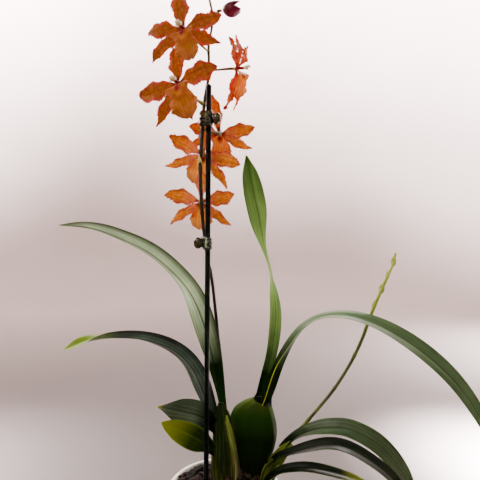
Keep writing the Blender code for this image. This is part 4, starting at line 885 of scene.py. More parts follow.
def lip_rows(reach, rows=64, columns=41):
    """The broad lip: a short claw forward, side lobes, then a wide scalloped lobe down."""
    route = [(0, -1.7, HUB_FRONT + GAP), (0, -2.6, 4.5), (0, -6, 7.6), (0, -0.45 * reach, 8.6),
             (0, -0.75 * reach, 7.0), (0, -reach, 3.0)]
    length = route_length(route)
    points, ways = stations(route, np.linspace(0, length, rows))
    t, s = sheet_places(rows, columns)
    hand = np.sign(s)
    outward = np.stack([np.zeros(rows), ways[:, 2], -ways[:, 1]], axis=1)
    width = 0.39 * reach * eased(read(LIP_WIDTHS, t[:, 0]), 2)[:, None]
    rim = np.abs(s) ** 3
    grown = np.minimum(1.0, 2 * t)
    scallop = 0.9 * s * s * np.sin(15 * t + 3 * s) * grown
    frill = (0.6 * np.sin(33 * t + 4 * s) + 0.35 * np.sin(61 * t - 5 * s)) * rim * grown
    end_frill = 0.9 * np.sin(11 * s + 0.6) * np.clip(t - 0.8, 0, 1) * 5 * (1 - rim)
    curl = -1.6 * s * s * np.sin(math.pi * t)
    # The side lobes stand up beside the column
    lobes = 2.6 * rim * np.exp(-((t - 0.2) / 0.09) ** 2)
    # Two ridges of the callus stand up near the claw, and a soft groove runs down the middle
    ridge = 1.2 * np.exp(-((np.abs(s) - 0.15) / 0.08) ** 2) * np.exp(-((t - 0.3) / 0.07) ** 2)
    groove = -0.9 * np.exp(-(s / 0.12) ** 2) * np.clip(t - 0.36, 0, 1)
    pucker = 0.3 * np.cos(13 * s) * np.clip(t - 0.4, 0, 1) * 2
    notch = 1 - 0.06 * np.exp(-(s / 0.2) ** 2) * np.clip((t - 0.86) / 0.14, 0, 1)
    tooth = (t * 0.42 * length + 0.3 * np.sin(8 * t) + 0.4 * hand) % 1
    teeth = 1 + rim * (0.55 * tooth ** 1.5 - 0.22) / np.maximum(width, 2)
    # The wide lobe's margin is scalloped
    scalloped = 0.05 * np.sin(30 * t + 1.3 * hand) + 0.03 * np.sin(53 * t - hand)
    teeth = teeth + rim * scalloped * np.clip((t - 0.4) / 0.2, 0, 1)
    lift = scallop + frill + end_frill + curl + lobes + ridge + groove + pucker
    grid = np.repeat(points[:, None, :], columns, axis=1)
    grid[..., 0] += s * width * teeth
    grid[..., 1] *= notch
    grid += outward[:, None, :] * lift[..., None]
    return grid, np.stack([t * length + 0 * s, s * width], axis=-1)


def column_skins():
    """The column: a slim neck that ends in two small wings and a rounded anther cap."""
    route = [(0, 0.9, HUB_FRONT + GAP), (0, 1.0, 4.8), (0, 1.7, 9.0), (0, 2.8, 12.6)]
    stops = [(0, 1.8), (0.35, 1.8), (0.62, 2.0), (0.8, 2.3), (0.93, 1.8), (1, 0.7)]

    def hollow(place, turns):
        return 1 - 0.22 * np.exp(-((np.sin(turns) - 1) / 0.3) ** 2) * (0.4 < place < 0.85)

    skins = [rod(route, stops, 24, 30, flat=0.8, relief=hollow)]
    for hand in (-1, 1):
        skins.append(ball((hand * 1.0, 3.2, 12.4), (1.5, 1.5, 1.7), 16, 11, look=1))
        skins.append(ball((hand * 2.4, 1.6, 10.0), (1.4, 1.9, 0.7), 12, 9, look=1))
    return skins


def make_bloom(name, bloom, looks):
    hub = bloom["hub"]
    right, up, forward = upright = bloom_frame(bloom["facing"])
    leaned = bloom_frame(bloom["facing"], bloom["lean"])
    core = lathe([(1.2, HUB_BACK), (2.2, HUB_BACK + 0.4), (2.8, HUB_BACK + 1.2), (HUB_RADIUS, -1.2),
                  (HUB_RADIUS, 0.0), (2.6, 0.5), (1.8, HUB_FRONT)], 20, look=1)
    skins = [into_world(core, hub, *upright)]
    for i, (angle, length, half, sweep) in enumerate(bloom["tepals"]):
        turn = math.radians(angle)
        along = right * math.cos(turn) + up * math.sin(turn)
        petal = BLUNT_WIDTHS if (name, i) in BLUNT_PETALS else PETAL_WIDTHS
        widths = petal if i in PETAL_PLACES else SEPAL_WIDTHS
        grid, lie = tepal_rows(length, half, sweep, widths, 1.3 * i + hub[2])
        made = blade(grid, PETAL, lie, tone=0.5 + 0.1 * math.sin(i + hub[0]), keel=0.7, rim=0.45)
        skins.append(into_world(made, hub, along, np.cross(forward, along), forward))
    grid, lie = lip_rows(bloom["lip"])
    lip = into_world(blade(grid, PETAL, lie, keel=0.4, rim=0.45), hub, *leaned)
    column = [into_world(made, hub, *leaned) for made in column_skins()]
    kind = "_coral" if name == CORAL_BLOOM else ""
    piece(name + "_petals", skins, [looks["tepal" + kind], looks["heart"]], name + "_tepals",
          70)
    piece(name + "_labellum", [lip], [looks["lip" + kind]], name + "_lip", 70)
    piece(name + "_stigma", column, [looks["column"], looks["cap"]], name + "_column")


def bud_rows(turn, length, half, spread, close, rows=26, columns=17):
    """One thick sepal of an opening bud, curved like a claw."""
    route = [(1.1, 0, 0.6), (spread * 0.8, 0, 0.25 * length), (spread, 0, 0.62 * length),
             (spread * close, 0, length)]
    middle = stations(route, np.linspace(0, route_length(route), rows))[0][:, None, :]
    t, s = sheet_places(rows, columns)
    width = half * read([(0, 0.2), (0.35, 1.0), (0.7, 0.8), (1, 0.1)], t)
    x = middle[..., 0] - 0.45 * width * s ** 2 + 0.25 * np.sin(14 * t) * s ** 2
    y = s * width
    z = middle[..., 2] + 0 * s
    grid = np.stack([x * math.cos(turn) - y * math.sin(turn),
                     x * math.sin(turn) + y * math.cos(turn), z], axis=-1)
    return grid, np.stack([z, y], axis=-1)


def make_buds(look):
    def seams(place, turns):
        return 1 - 0.1 * np.abs(np.cos(1.5 * turns + place)) ** 6

    for name, bud in BUDS.items():
        if name == "bud_open":
            skins = [ball((0, 0, 2.3), (2.6, 2.6, 2.2), 20, 13)]
            for turn, *sizes in OPEN_SEPALS:
                grid, lie = bud_rows(math.radians(turn), *sizes)
                skins.append(blade(grid, 1.2, lie, rim=0.5))
        else:
            route = [(0, 0, 0), (0.3, 0, bud["length"] / 2), (0, 0, bud["length"])]
            stops = [(t, wide * bud["radius"]) for t, wide in BUD_WIDTHS]
            skins = [rod(route, stops, 36, 30, relief=seams)]
        axes = bloom_frame(bud["facing"])
        piece(name + "_sepals", [into_world(made, bud["base"], *axes) for made in skins], [look],
              name)


# Stems

STALK_RADIUS = 1.2
# How thick a bract is
BRACT = 0.7


def stalk(start, end, facing, look):
    """A flower stalk from the stem to just behind a hub or a bud."""
    forward = unit(np.array(facing, float))
    goal = np.array(end, float) - forward * (GAP + 0.15)
    start = np.array(start, float)
    route = [start, start + forward * 5 + (goal - start) * 0.12, goal - forward * 4.5, goal]
    stops = [(0, STALK_RADIUS * 0.8), (0.5, STALK_RADIUS), (1, STALK_RADIUS * 1.25)]

    def ribbed(place, turns):
        return 1 + 0.05 * np.cos(3 * turns + 4 * place)

    return rod(route, stops, 18, 30, look=look, relief=ribbed)


def bract(foot, tip, face, half, look, cup=0.6):
    """A small boat-shaped bract that clasps the stem at its foot."""
    foot, tip = np.array(foot, float), np.array(tip, float)
    way = unit(tip - foot)
    face = unit(np.array(face, float) - way * np.dot(face, way))
    t, s = sheet_places(16, 13)
    width = half * read([(0, 0.8), (0.45, 1.0), (1, 0.1)], t)
    cup = (np.sqrt(s ** 2 + 0.02) - 0.14) * cup
    grid = (foot + (tip - foot) * t[..., None] + np.cross(way, face) * (width * s)[..., None]
            + face * (width * cup)[..., None])
    lie = np.stack([t * np.linalg.norm(tip - foot) + 0 * s, width * s], axis=-1)
    return blade(grid, BRACT, lie, look, rim=0.5)


def swollen(nodes, more, reach):
    """How much thicker a stem is at each height, near its nodes."""
    return lambda height: sum(more * np.exp(-((height - node) / reach) ** 2) for node in nodes)


# Where each bloom's or bud's stalk leaves the stem, by height
STALK_HEIGHTS = {"bloom_a": 566, "bloom_b": 512, "bloom_c": 548, "bloom_d": 488, "bloom_e": 461,
                 "bloom_f": 404, "bud_open": 601, "bud_closed": 620}
BRACTED = ("bloom_b", "bloom_c", "bud_open")
STEM_NODES = (180, 262, 345, 404, 449, 466, 488, 512, 548, 566, 601, 620)
# Where a dry bract clasps the stem
CLASP_HEIGHT = 450


def make_flower_stem(looks):
    count = int(route_length(STEM_ROUTE) / 1.3)
    skins = [rod(STEM_ROUTE, STEM_RADII, 18, count, swell=swollen(STEM_NODES, 0.45, 1.6))]
    for name, height in STALK_HEIGHTS.items():
        begin = route_at_height(STEM_ROUTE, height)
        carried = BLOOMS.get(name) or BUDS[name]
        if name in BLOOMS:
            end = np.array(carried["hub"]) + unit(np.array(carried["facing"], float)) * HUB_BACK
        else:
            end = np.array(carried["base"], float)
        skins.append(stalk(begin, end, carried["facing"], look=1))
        if name in BRACTED:
            tip = begin + unit(end - begin) * 8 + np.array((0, 0, 1.0))
            skins.append(bract(begin - np.array((0, 0, 0.8)), tip, (0, 0, 1), 1.6, look=2, cup=1.5))
    clasp = route_at_height(STEM_ROUTE, CLASP_HEIGHT)
    skins.append(bract(clasp + np.array((-0.6, -0.6, 0)), clasp + np.array((-1, -3, 13)),
                       (0.4, 1, 0), 2.4, look=2))
    piece("flower_stem_spray", skins, [looks["stem"], looks["stalk"], looks["bract"]],
          "flower_stem")


SPIKE_ROUTE = [(48, 9, 92), (50, 9, 112), (56, 8, 136), (65.5, 6, 155), (77.7, 6, 166),
               (93, 8, 182), (116.5, 10, 210), (135, 11, 239), (147.5, 12, 265),
               (154, 12, 284), (160.5, 12, 302.5), (168, 11, 322), (174.5, 10, 338),
               (179, 9, 350), (181, 8, 362)]
SPIKE_BRACTS = (286, 304, 321, 337, 351)
SPIKE_NODES = (150, 180, 214, 250) + SPIKE_BRACTS
# Points round a clip's outline
CLIP_SIDES = 48
# Each clip: its middle height, its length, the stem's radius there and the side of its tab
CLIPS = (("clip_upper", 499.0, 15.4, 2.15, 1), ("clip_lower", 373.5, 13.2, 2.05, -1))


def make_young_spike(looks):
    skins = [rod(SPIKE_ROUTE, [(0, 2.3), (0.4, 1.9), (0.75, 2.0), (1, 1.2)], 18, 240,
                 swell=swollen(SPIKE_NODES, 0.35, 1.8))]
    for i, height in enumerate(SPIKE_BRACTS):
        point = route_at_height(SPIKE_ROUTE, height)
        side = 1 if i % 2 else -1
        tip = point + np.array((3.6 + 2.6 * side - 0.4 * i, 2.0 * side, 10.5 - 0.5 * i))
        skins.append(bract(point - np.array((0.4, 0, 3)), tip, (-0.5 * side, 1, 0.2), 3.3 - 0.2 * i,
                           look=1, cup=0.8))
    piece("young_spike_growing", skins, [looks["spike"], looks["spike_bract"]], "young_spike")


def stake_point(height):
    foot, top = np.array(STAKE_FOOT), np.array(STAKE_TOP)
    return foot + (top - foot) * (height - foot[2]) / (top[2] - foot[2])


def make_stake(look):
    foot, top = np.array(STAKE_FOOT), np.array(STAKE_TOP)
    way = unit(top - foot)
    length = float(np.linalg.norm(top - foot))
    places = np.concatenate([[0, 1, 2.5, 4], np.linspace(8, length - 3, 60),
                             length - np.array([2.4, 1.8, 1.2, 0.7, 0.3, 0.0])])
    radii = np.interp(places, [0, 4, length - 2.4, length - 1.2, length - 0.3, length],
                      [1.0, STAKE_RADIUS, STAKE_RADIUS, STAKE_RADIUS * 0.86, STAKE_RADIUS * 0.5,
                       STAKE_RADIUS * 0.2])

    def moulded(place, turns):
        # Two faint mould lines run down the coating
        return 1 - 0.03 * np.abs(np.cos(turns + 0.5)) ** 40

    coated = tube(foot + places[:, None] * way, [way] * len(places), radii, 36, relief=moulded)
    piece("stake_coated", [coated], [look], "stake")


def clip_outline(height, stem_radius, extra):
    """The outline that wraps the stake and the stem at one height; extra may differ round it."""
    turns = turns_round(CLIP_SIDES)
    ways = np.stack([np.cos(turns), np.sin(turns), np.zeros(CLIP_SIDES)], axis=1)
    stake, stem = stake_point(height), route_at_height(STEM_ROUTE, height)
    near = ways @ stake + STAKE_RADIUS > ways @ stem + stem_radius
    centre = np.where(near[:, None], stake, stem)
    radius = np.where(near, STAKE_RADIUS, stem_radius)
    return centre + ways * (radius + extra)[:, None]


def make_clip(name, middle, height, stem_radius, handle, looks):
    """A toothed sleeve round stake and stem, with a round pinch tab on one side."""
    low = middle - height / 2
    turns = turns_round(CLIP_SIDES)
    toothed = 0.5 - 0.5 * handle * np.cos(turns)
    rings = []
    for z in np.linspace(low, low + height, 49):
        end = min(z - low, low + height - z)
        round_off = 0.6 * max(0.0, 1 - end / 0.8) ** 2
        tooth = CLIP_TOOTH * (0.5 - 0.5 * math.cos(FULL_TURN * (z - low) * 3 / height)) ** 2
        extra = CLIP_WALL + GAP + tooth * (0.3 + 0.7 * toothed) - round_off
        rings.append(clip_outline(z, stem_radius, extra))
    for z in (low + height, middle, low):
        rings.append(clip_outline(z, stem_radius, np.full(CLIP_SIDES, GAP + 0.15)))
    # The faces that follow the last ring lead back to the first one
    count = len(rings)
    faces = grid_faces(count + 1, CLIP_SIDES, closed=True)[:, ::-1] % (count * CLIP_SIDES)
    lie = np.stack(np.meshgrid(np.arange(count) * 0.3, turns * 4, indexing="ij"), axis=-1)
    sleeve = skin(np.concatenate(rings), [faces], 0, lie.reshape(-1, 2))
    stake, stem = stake_point(middle), route_at_height(STEM_ROUTE, middle)
    hold, reach = (stake, STAKE_RADIUS) if handle > 0 else (stem, stem_radius)
    tab, neck = (hold + np.array((handle * (reach + CLIP_WALL + out), 0, 0)) for out in (4.0, 0.6))
    # Painted highlight: a pale strip on the front where the two jaws meet, standing for the light
    # that catches the edge of the body at the hinge
    front = min(stake[1] - STAKE_RADIUS, stem[1] - stem_radius)
    hinge_highlight = ((stake[0] + stem[0]) / 2 - handle * 0.2, front - CLIP_WALL + 0.3, middle + 0.6)
    skins = [sleeve, ball(neck, (2.6, 2.4, 4.6), 24, 15),
             ball(tab, (4.6, 3.2, 6.0), 40, 31, look=1, groove=0.07),
             ball(hinge_highlight, (1.2, 1.0, 5.8), 16, 15, look=2)]
    piece(name + "_moulded", skins, looks, name)


# Bulb and shoots

BULB_FOOT = ((32.0, 10.0), 11.0, 9.4)
# The bulb's outline: height, middle along X and half width along X
BULB_OUTLINE = [(BARK_LEVEL - 7, 32.0, 11.0), (BARK_LEVEL, 32.0, 11.0), (118, 32.0, 12.0),
                (127, 31.6, 16.2), (138, 31.2, 20.4), (150, 31.1, 23.8), (163, 31.4, 25.6),
                (175, 31.2, 25.2), (186, 30.6, 23.2), (194, 31.8, 19.8), (200, 35.0, 14.0),
                (204.2, 37.6, 6.4)]
BULB_FLATNESS = 0.66
LEFT_FOOT = ((1.5, -3.0), 14.6, 7.2)
RIGHT_FOOT = ((43.5, -9.5), 6.6, 5.2)
# The left shoot's outline: height, then middle along X and Y and half widths along X and Y
LEFT_OUTLINE = [(BARK_LEVEL - 11, (1.5, -3.0, 14.6, 7.2)), (117, (1.5, -3.0, 14.6, 7.2)),
                (138, (1.3, -4.5, 15.2, 6.4)), (158, (0.5, -4.4, 13.2, 5.2)),
                (178, (-1.0, -2.6, 11.0, 3.9)), (192, (-2.4, -0.9, 7.4, 2.3)),
                (202, (-3.4, 0.2, 3.0, 0.9))]


def ragged_wrap(foot, growth, low, high, seed, look):
    """Dried sheath left round a foot: a thin wrap whose upper edge is torn into fibres."""
    (x, y), wide, deep = foot
    shift = random.Random(seed).uniform(0, 50)
    t, a = sheet_places(20, 141, 3.1)
    torn = sum(share * np.array([noise.noise(Vector((math.cos(k) * fine, math.sin(k) * fine,
                                                     shift))) for k in a[0]])
               for share, fine in ((1, 3), (0.5, 9)))
    height = (high - low) * (0.72 + 0.6 * torn)[None, :]
    flare = 0.8 + growth * t ** 1.4 + 0.5 * np.sin(13 * a + shift) * t
    wrap = np.stack([x + (wide + flare) * np.cos(a - math.pi / 2),
                     y + (deep + flare) * np.sin(a - math.pi / 2), low + height * t], axis=-1)
    lie = np.stack([height * t, a * wide + 0 * t], axis=-1)
    return blade(wrap, 0.6, lie, look=look, rim=0.5)


def make_main_bulb(looks, stubs):
    """The main bulb: egg-shaped, a little flat from front to back, with faint ribs."""
    foot, crown = BULB_OUTLINE[0][0], BULB_OUTLINE[-1][0]
    depth = [(foot, 0.85), (BARK_LEVEL, 0.85), (118, 0.76), (127, BULB_FLATNESS),
             (crown, BULB_FLATNESS)]
    heights = np.concatenate([np.linspace(foot, 196, 90), np.linspace(196.4, crown, 26)])
    middles, reaches = (read([(row[0], row[k]) for row in BULB_OUTLINE], heights) for k in (1, 2))
    turns = turns_round(96)
    rings = []
    for z, middle, radius in zip(heights, middles, reaches):
        swell = min(max((z - 118) / 20, 0), 1)
        rib = 1 + swell * (0.012 * np.cos(10 * turns) + 0.004 * np.cos(23 * turns + 1))
        dent = np.array([noise.noise(Vector((math.cos(a) * 1.6, math.sin(a) * 1.6, z / 14)))
                         for a in turns])
        reach = radius * (rib + 0.01 * dent)
        rings.append(oval(middle, BULB_FOOT[0][1], reach, float(read(depth, z)) * reach, turns, z))
    # The neck that wraps the leaf bases at the top
    t, a = sheet_places(24, 61, 3.05)
    wide = 12.2 - 3.0 * np.sin(t * math.pi / 2) + 0.15 * np.sin(9 * a)
    collar = np.stack([39.3 + 3.6 * t + wide * np.cos(a - 1.2),
                       9.4 - 1.6 * t + 0.68 * wide * np.sin(a - 1.2),
                       195.5 + 12.5 * t + 1.0 * np.sin(2 * a + 1) * t], axis=-1)
    lie = np.stack([12 * t + 0 * a, a * 10 + 0 * t], axis=-1)
    skins = [rings_skin(rings, girth=140), blade(collar, 0.7, lie, look=4, rim=0.5),
             ragged_wrap(BULB_FOOT, 2.6, 111, 125, 7, look=1)]
    piece("main_bulb_ribbed", skins + stubs, looks, "main_bulb")


def sheath(route, half, fold, rows, look):
    """The open edge of an outer sheath, folded round its shoot."""
    leaf = dict(route=route, hints=[(0, (0, 1, 0.1)), (1, (0.1, 1, 0.1))], half_width=half,
                widths=[(0, 0.8), (0.5, 1.0), (0.8, 0.8), (1, 0.2)], fold=[(0, fold), (1, fold)],
                ripple=0.3, wave=7.0)
    grid, lie = leaf_rows(leaf, 0, route_length(route), rows, 21)
    return blade(grid, 1.0, lie, look, face_up=-1, keel=0.3)


def make_left_shoot(looks, stubs):
    """The fan of folded sheaths: a flattened core and the open edges of the outer sheaths."""
    turns = turns_round(72)
    rings = []
    for z in np.linspace(LEFT_OUTLINE[0][0], LEFT_OUTLINE[-1][0], 92):
        x, y, wide, deep = read(LEFT_OUTLINE, z)
        # Each folded sheath ends in a ridge that slants up the shoot
        fold = 1 + 0.05 * np.abs(np.sin(3.5 * turns + z / 40)) - 0.03
        rings.append(oval(x, y, wide * fold, deep * fold, turns, z))
    skins = [rings_skin(rings, girth=70),
             sheath([(11, -9.2, 119), (10.8, -10.4, 140), (6.5, -8.8, 165), (2.5, -4.6, 190)],
                    5.0, 24, 50, 1),
             sheath([(-7, -6.5, 119), (-7.5, -8, 138), (-9, -6.5, 160)], 6.0, 30, 34, 2),
             ragged_wrap(LEFT_FOOT, 0.6, 108, 126, 3, look=2)]
    piece("left_shoot_sheathed", skins + stubs, looks, "left_shoot")


def make_right_shoot(looks, stubs):
    """The young growth: a flattened stem of sheaths that leans out to the right."""
    (x, y), wide, deep = RIGHT_FOOT
    rings = [oval(x, y, wide, deep, turns_round(40), z)
             for z in np.linspace(BARK_LEVEL - 9, 116, 10)]

    def stepped(place, turns):
        return 1 + 0.05 * (1 - (place * 4) % 1) + 0.04 * np.cos(2 * turns)

    core = rod([(43.5, -9.5, 112), (46, -10, 124), (52, -9.5, 137), (61, -7, 149), (72, -4, 159)],
               [(0, 6.0), (0.3, 7.6), (0.6, 7.4), (0.85, 5.4), (1, 3.4)], 40, 70, flat=0.66,
               relief=stepped)
    fold = sheath([(46, -15, 119), (51, -16, 130), (58, -13, 141)], 5.5, 30, 30, 1)
    piece("right_shoot_sheathed", [rings_skin(rings), core, fold] + stubs, looks, "right_shoot")


# Pot and bark

# Seeds of the chips' shades and of the noise that wears them
SHADE_SEED, NOISE_SEED = 5, 29

# Layers of bark chips: their seed, how finely they are cut, how they scatter (count, spacing,
# reach and clearance from the holes), the spans of their half sizes, where the pot's wall
# turns them, how much they are raised, their tones and how rough they are. The second layer
# is of small chips and crumbs that fill the spaces between.
CHIP_LAYERS = (
    dict(seed=11, cuts=5, scatter=(CHIP_COUNT, CHIP_SPACING, 49.5, 2.5),
         halves=((5.5, 9.0), (3.4, 5.4), (2.0, 3.2)), wall=41, lifts=(-0.6, 1.4),
         tones=(0.15, 0.75), rough=1.5),
    dict(seed=23, cuts=3, scatter=(300, 4.3, 53.5, 1.2),
         halves=((2.4, 5.0), (1.4, 2.6), (0.9, 1.6)), wall=47, lifts=(-1.2, 1.6),
         tones=(0.1, 1.0), rough=0.8))


def pot_inner(height):
    """The pot's inside radius at a height."""
    outside = POT_FOOT_RADIUS + (POT_RIM_RADIUS - RIM_STEP - POT_FOOT_RADIUS) * height / POT_HEIGHT
    return outside - POT_WALL


def make_pot(look):
    foot, rim, top = POT_FOOT_RADIUS, POT_RIM_RADIUS, POT_HEIGHT
    band, mouth, base = top - RIM_BAND, pot_inner(top), pot_inner(POT_FLOOR)
    under_band = rim - RIM_STEP
    profile = [(foot - 1.6, 0.0), (foot - 0.8, 0.1), (foot - 0.2, 0.5), (foot, 1.2)]
    profile += [(pot_inner(z) + POT_WALL, z) for z in np.linspace(6, band - 2, 14)]
    profile += [(pot_inner(band) + POT_WALL, band - 0.6), (under_band + 0.9, band - 0.1)]
    profile += [(under_band + 1.6 + 0.6 * k / 4, band + 0.6 + (RIM_BAND - 2.6) * k / 4)
                for k in range(5)]
    profile += [(rim, top - 1.6), (rim - 0.15, top - 0.8), (rim - 0.6, top - 0.25),
                (rim - 1.4, top), (rim - 2.4, top - 0.1), (mouth + 0.6, top - 0.5),
                (mouth + 0.1, top - 1.2)]
    profile += [(pot_inner(z), z) for z in np.linspace(top - 4, POT_FLOOR + 1.5, 12)]
    profile += [(base - 0.6, POT_FLOOR + 0.4), (base - 2.0, POT_FLOOR)]
    made = piece("pot_moulded", [lathe(profile, 128)], [look], "pot", angle=35)
    cutters = bpy.data.collections.new("drain_cutters")
    bpy.context.scene.collection.children.link(cutters)
    plug = lathe([(DRAIN_RADIUS, -1), (DRAIN_RADIUS, POT_FLOOR + 1)], 32)
    for k in range(DRAIN_COUNT):
        a = FULL_TURN * (k + 0.25) / DRAIN_COUNT
        mesh = bpy.data.meshes.new("drain_cutter")
        points = plug["points"] + np.array((DRAIN_RING * math.cos(a), DRAIN_RING * math.sin(a), 0))
        mesh.from_pydata((points * MM).tolist(), [], plug["faces"][0].tolist() + plug["faces"][1])
        cutters.objects.link(bpy.data.objects.new("drain_cutter", mesh))
    change = made.modifiers.new("drains", "BOOLEAN")
    change.operation, change.operand_type, change.collection = "DIFFERENCE", "COLLECTION", cutters
    change.solver = "EXACT"
    bpy.context.view_layer.update()
    seen = made.evaluated_get(bpy.context.evaluated_depsgraph_get())
    mesh = bpy.data.meshes.new_from_object(seen)
    made.modifiers.remove(change)
    made.data = mesh
    for cutter in list(cutters.objects):
        bpy.data.objects.remove(cutter, do_unlink=True)
    bpy.data.collections.remove(cutters)


def bark_height(x, y):
    """The top of the bark: a low mound, heaped up round the foot of the plant."""
    reach = math.hypot(x, y) / BARK_MOUND_REACH
    heap = math.exp(-math.dist((x, y), BARK_HEAP_MIDDLE) ** 2 / (2 * BARK_HEAP_REACH ** 2))
    return BARK_LEVEL + BARK_MOUND * (1 - reach ** 2) + BARK_HEAP * heap


def turn_about(points, angle, first, second):
    """Points turned in the plane of two of their axes."""
    turned = points.copy()
    cos, sin = math.cos(angle), math.sin(angle)
    turned[:, first] = points[:, first] * cos - points[:, second] * sin
    turned[:, second] = points[:, first] * sin + points[:, second] * cos
    return turned


def block(cuts):
    """Points and faces of a box from -1 to 1 whose sides are split into small squares."""
    mesh = bmesh.new()
    bmesh.ops.create_cube(mesh, size=2)
    bmesh.ops.subdivide_edges(mesh, edges=mesh.edges[:], cuts=cuts, use_grid_fill=True)
    mesh.verts.ensure_lookup_table()
    points = np.array([tuple(v.co) for v in mesh.verts])
    faces = [[v.index for v in f.verts] for f in mesh.faces]
    mesh.free()
    return points, faces


def chip(draw, lattice, x, y, halves, near_wall, lifts, tone, rough):
    """One bark chip: a lop-sided slab, worn round and split in layers, at a slant on the mound."""
    corners = np.array([[a * halves[0] * draw.uniform(0.78, 1.0),
                         b * halves[1] * draw.uniform(0.72, 1.0), c * halves[2]]
                        for a in (-1, 1) for b in (-1, 1) for c in (-1, 1)])
    slant, roll = draw.uniform(-0.4, 0.4), draw.uniform(-0.45, 0.45)
    heading = draw.uniform(0, math.pi)
    if near_wall:
        heading = math.atan2(y, x) + math.pi / 2 + draw.uniform(-0.15, 0.15)
    lift = draw.uniform(*lifts)
    box, faces = lattice
    high = (box + 1) / 2
    shares = np.stack([1 - high, high])
    weights = np.stack([shares[a][:, 0] * shares[b][:, 1] * shares[c][:, 2]
                        for a in (0, 1) for b in (0, 1) for c in (0, 1)], axis=1)
    points = weights @ corners
    round_off = 1 - 0.16 * (np.linalg.norm(box[:, :2], axis=1) / math.sqrt(2)) ** 6
    points[:, :2] *= round_off[:, None]
    shakes = np.array([noise.noise_vector(Vector((p[0] * 0.28 + x, p[1] * 0.34 + y,
                                                  p[2] * 0.9 + tone * 9))) for p in points])
    layers = np.array([noise.noise(Vector((p[2] * 1.3, x + p[0] * 0.05, y))) for p in points])
    points = points + shakes * rough * np.array((1.0, 0.8, 0.55))
    points[:, 1] += layers * rough * 0.8 * np.sign(points[:, 1])
    lie = points[:, :2] + np.array((x, y))
    for angle, first, second in ((slant, 0, 2), (roll, 1, 2), (heading, 0, 1)):
        points = turn_about(points, angle, first, second)
    points = points + np.array((x, y, bark_height(x, y) + lift))
    return skin(points, [faces], 0, lie, tone=tone)


def scattered_spots(draw, count, apart, reach, clearance):
    """Seeded places on a disc that keep a distance from each other and from the holes."""
    spots = []
    for _ in range(6000):
        angle = draw.uniform(0, 2 * math.pi)
        r = reach * math.sqrt(draw.random())
        spot = (r * math.cos(angle), r * math.sin(angle))
        free = all(math.hypot((spot[0] - centre[0]) / (wide + clearance),
                              (spot[1] - centre[1]) / (deep + clearance)) > 1
                   for centre, wide, deep in (LEFT_FOOT, BULB_FOOT, RIGHT_FOOT))
        if free and all(math.hypot(spot[0] - s[0], spot[1] - s[1]) > apart for s in spots):
            spots.append(spot)
        if len(spots) == count:
            break
    return spots


def make_bark(look):
    # The noise starts from an offset of its own, so it is seeded too
    noise.seed_set(NOISE_SEED)
    base, shoulder = POT_FLOOR + GAP, BARK_LEVEL - 4
    turns = turns_round(96)
    rings = [oval(0, 0, pot_inner(z) - GAP, pot_inner(z) - GAP, turns, z) for z in (base, shoulder)]
    for radius in np.linspace(52, 2, 34):
        ring = oval(0, 0, radius, radius, turns, 0)
        ring[:, 2] = [bark_height(x, y) - CHIP_SINK + 0.8 * noise.noise(Vector((x / 3, y / 3, 0)))
                      for x, y, _ in ring]
        rings.append(ring)
    skins = [rings_skin(rings, tone=0.25)]
    shades = random.Random(SHADE_SEED)
    for layer in CHIP_LAYERS:
        draw = random.Random(layer["seed"])
        lattice = block(layer["cuts"])
        for x, y in scattered_spots(draw, *layer["scatter"]):
            halves = [draw.uniform(*span) for span in layer["halves"]]
            skins.append(chip(draw, lattice, x, y, halves, math.hypot(x, y) > layer["wall"],
                              layer["lifts"], shades.uniform(*layer["tones"]), layer["rough"]))
    piece("bark_chips", skins, [look], "bark", angle=40)


# The studio: a round board that curves up from floor to wall, soft lights and the camera

# The board in millimetres: its level, where it starts to bend up, the bend and the wall's top
BOARD_TOP, BOARD_FLAT, BOARD_BEND, BOARD_WALL = -0.4, 1450, 650, 2600
CAMERA_PLACE = (0.0169, -0.537, 0.423)

# Each light: its place and aim in metres, its size, watts, colour and spread in degrees
LIGHTS = (
    ("window_back", (0.7, 1.1, 1.6), (0.04, 0.0, 0.38), (0.7, 0.6), 2.4, "FFFDF8", 40),
    ("window_left", (-1.4, 0.55, 1.2), (0.0, 0.0, 0.38), (0.7, 0.7), 2.6, "FFFCF6", 45),
    ("fill_front", (-0.7, -1.2, 1.3), (0.0, 0.0, 0.38), (0.4, 0.4), 0.4, "FFF8F0", 27),
    ("wall_top", (0.0, -0.2, 2.5), (0.1, 2.1, 1.85), (0.8, 0.5), 165, "FFF2F1", 62),
    ("wall_left", (-0.2, 0.2, 1.9), (-1.35, 1.6, 1.45), (0.5, 0.5), 120, "FFF2F1", 62),
    ("wall_right", (0.5, 0.0, 1.9), (1.4, 1.6, 1.25), (0.5, 0.5), 92, "FFF2F1", 64),
    ("pool_right", (0.8, 0.02, 0.34), (0.58, 0.165, 0.0), (0.12, 0.12), 112, "FFF3F3", 46),
    ("pool_back", (1.15, 0.78, 0.55), (0.8, 0.74, 0.0), (0.25, 0.25), 13, "FFF3F3", 72),
    ("pool_left", (-0.82, 0.08, 0.35), (-0.56, 0.16, 0.0), (0.15, 0.15), 8, "FFF3F3", 60))


def make_stage():
    profile = [(0.004, BOARD_TOP), (BOARD_FLAT, BOARD_TOP)]
    profile += [(BOARD_FLAT + BOARD_BEND * math.sin(a),
                 BOARD_BEND + BOARD_TOP - BOARD_BEND * math.cos(a))
                for a in np.linspace(0, math.pi / 2, 24)[1:]]
    profile += [(BOARD_FLAT + BOARD_BEND, BOARD_WALL)]
    rings = [oval(0, 0, radius, radius, turns_round(128), z) for radius, z in profile]
    mesh = bpy.data.meshes.new("studio_board")
    mesh.from_pydata((np.concatenate(rings) * MM).tolist(), [],
                     grid_faces(len(rings), 128, closed=True).tolist())
    mesh.materials.append(backdrop_skin())
    mesh.shade_smooth()
    board = stand("studio_board", mesh)


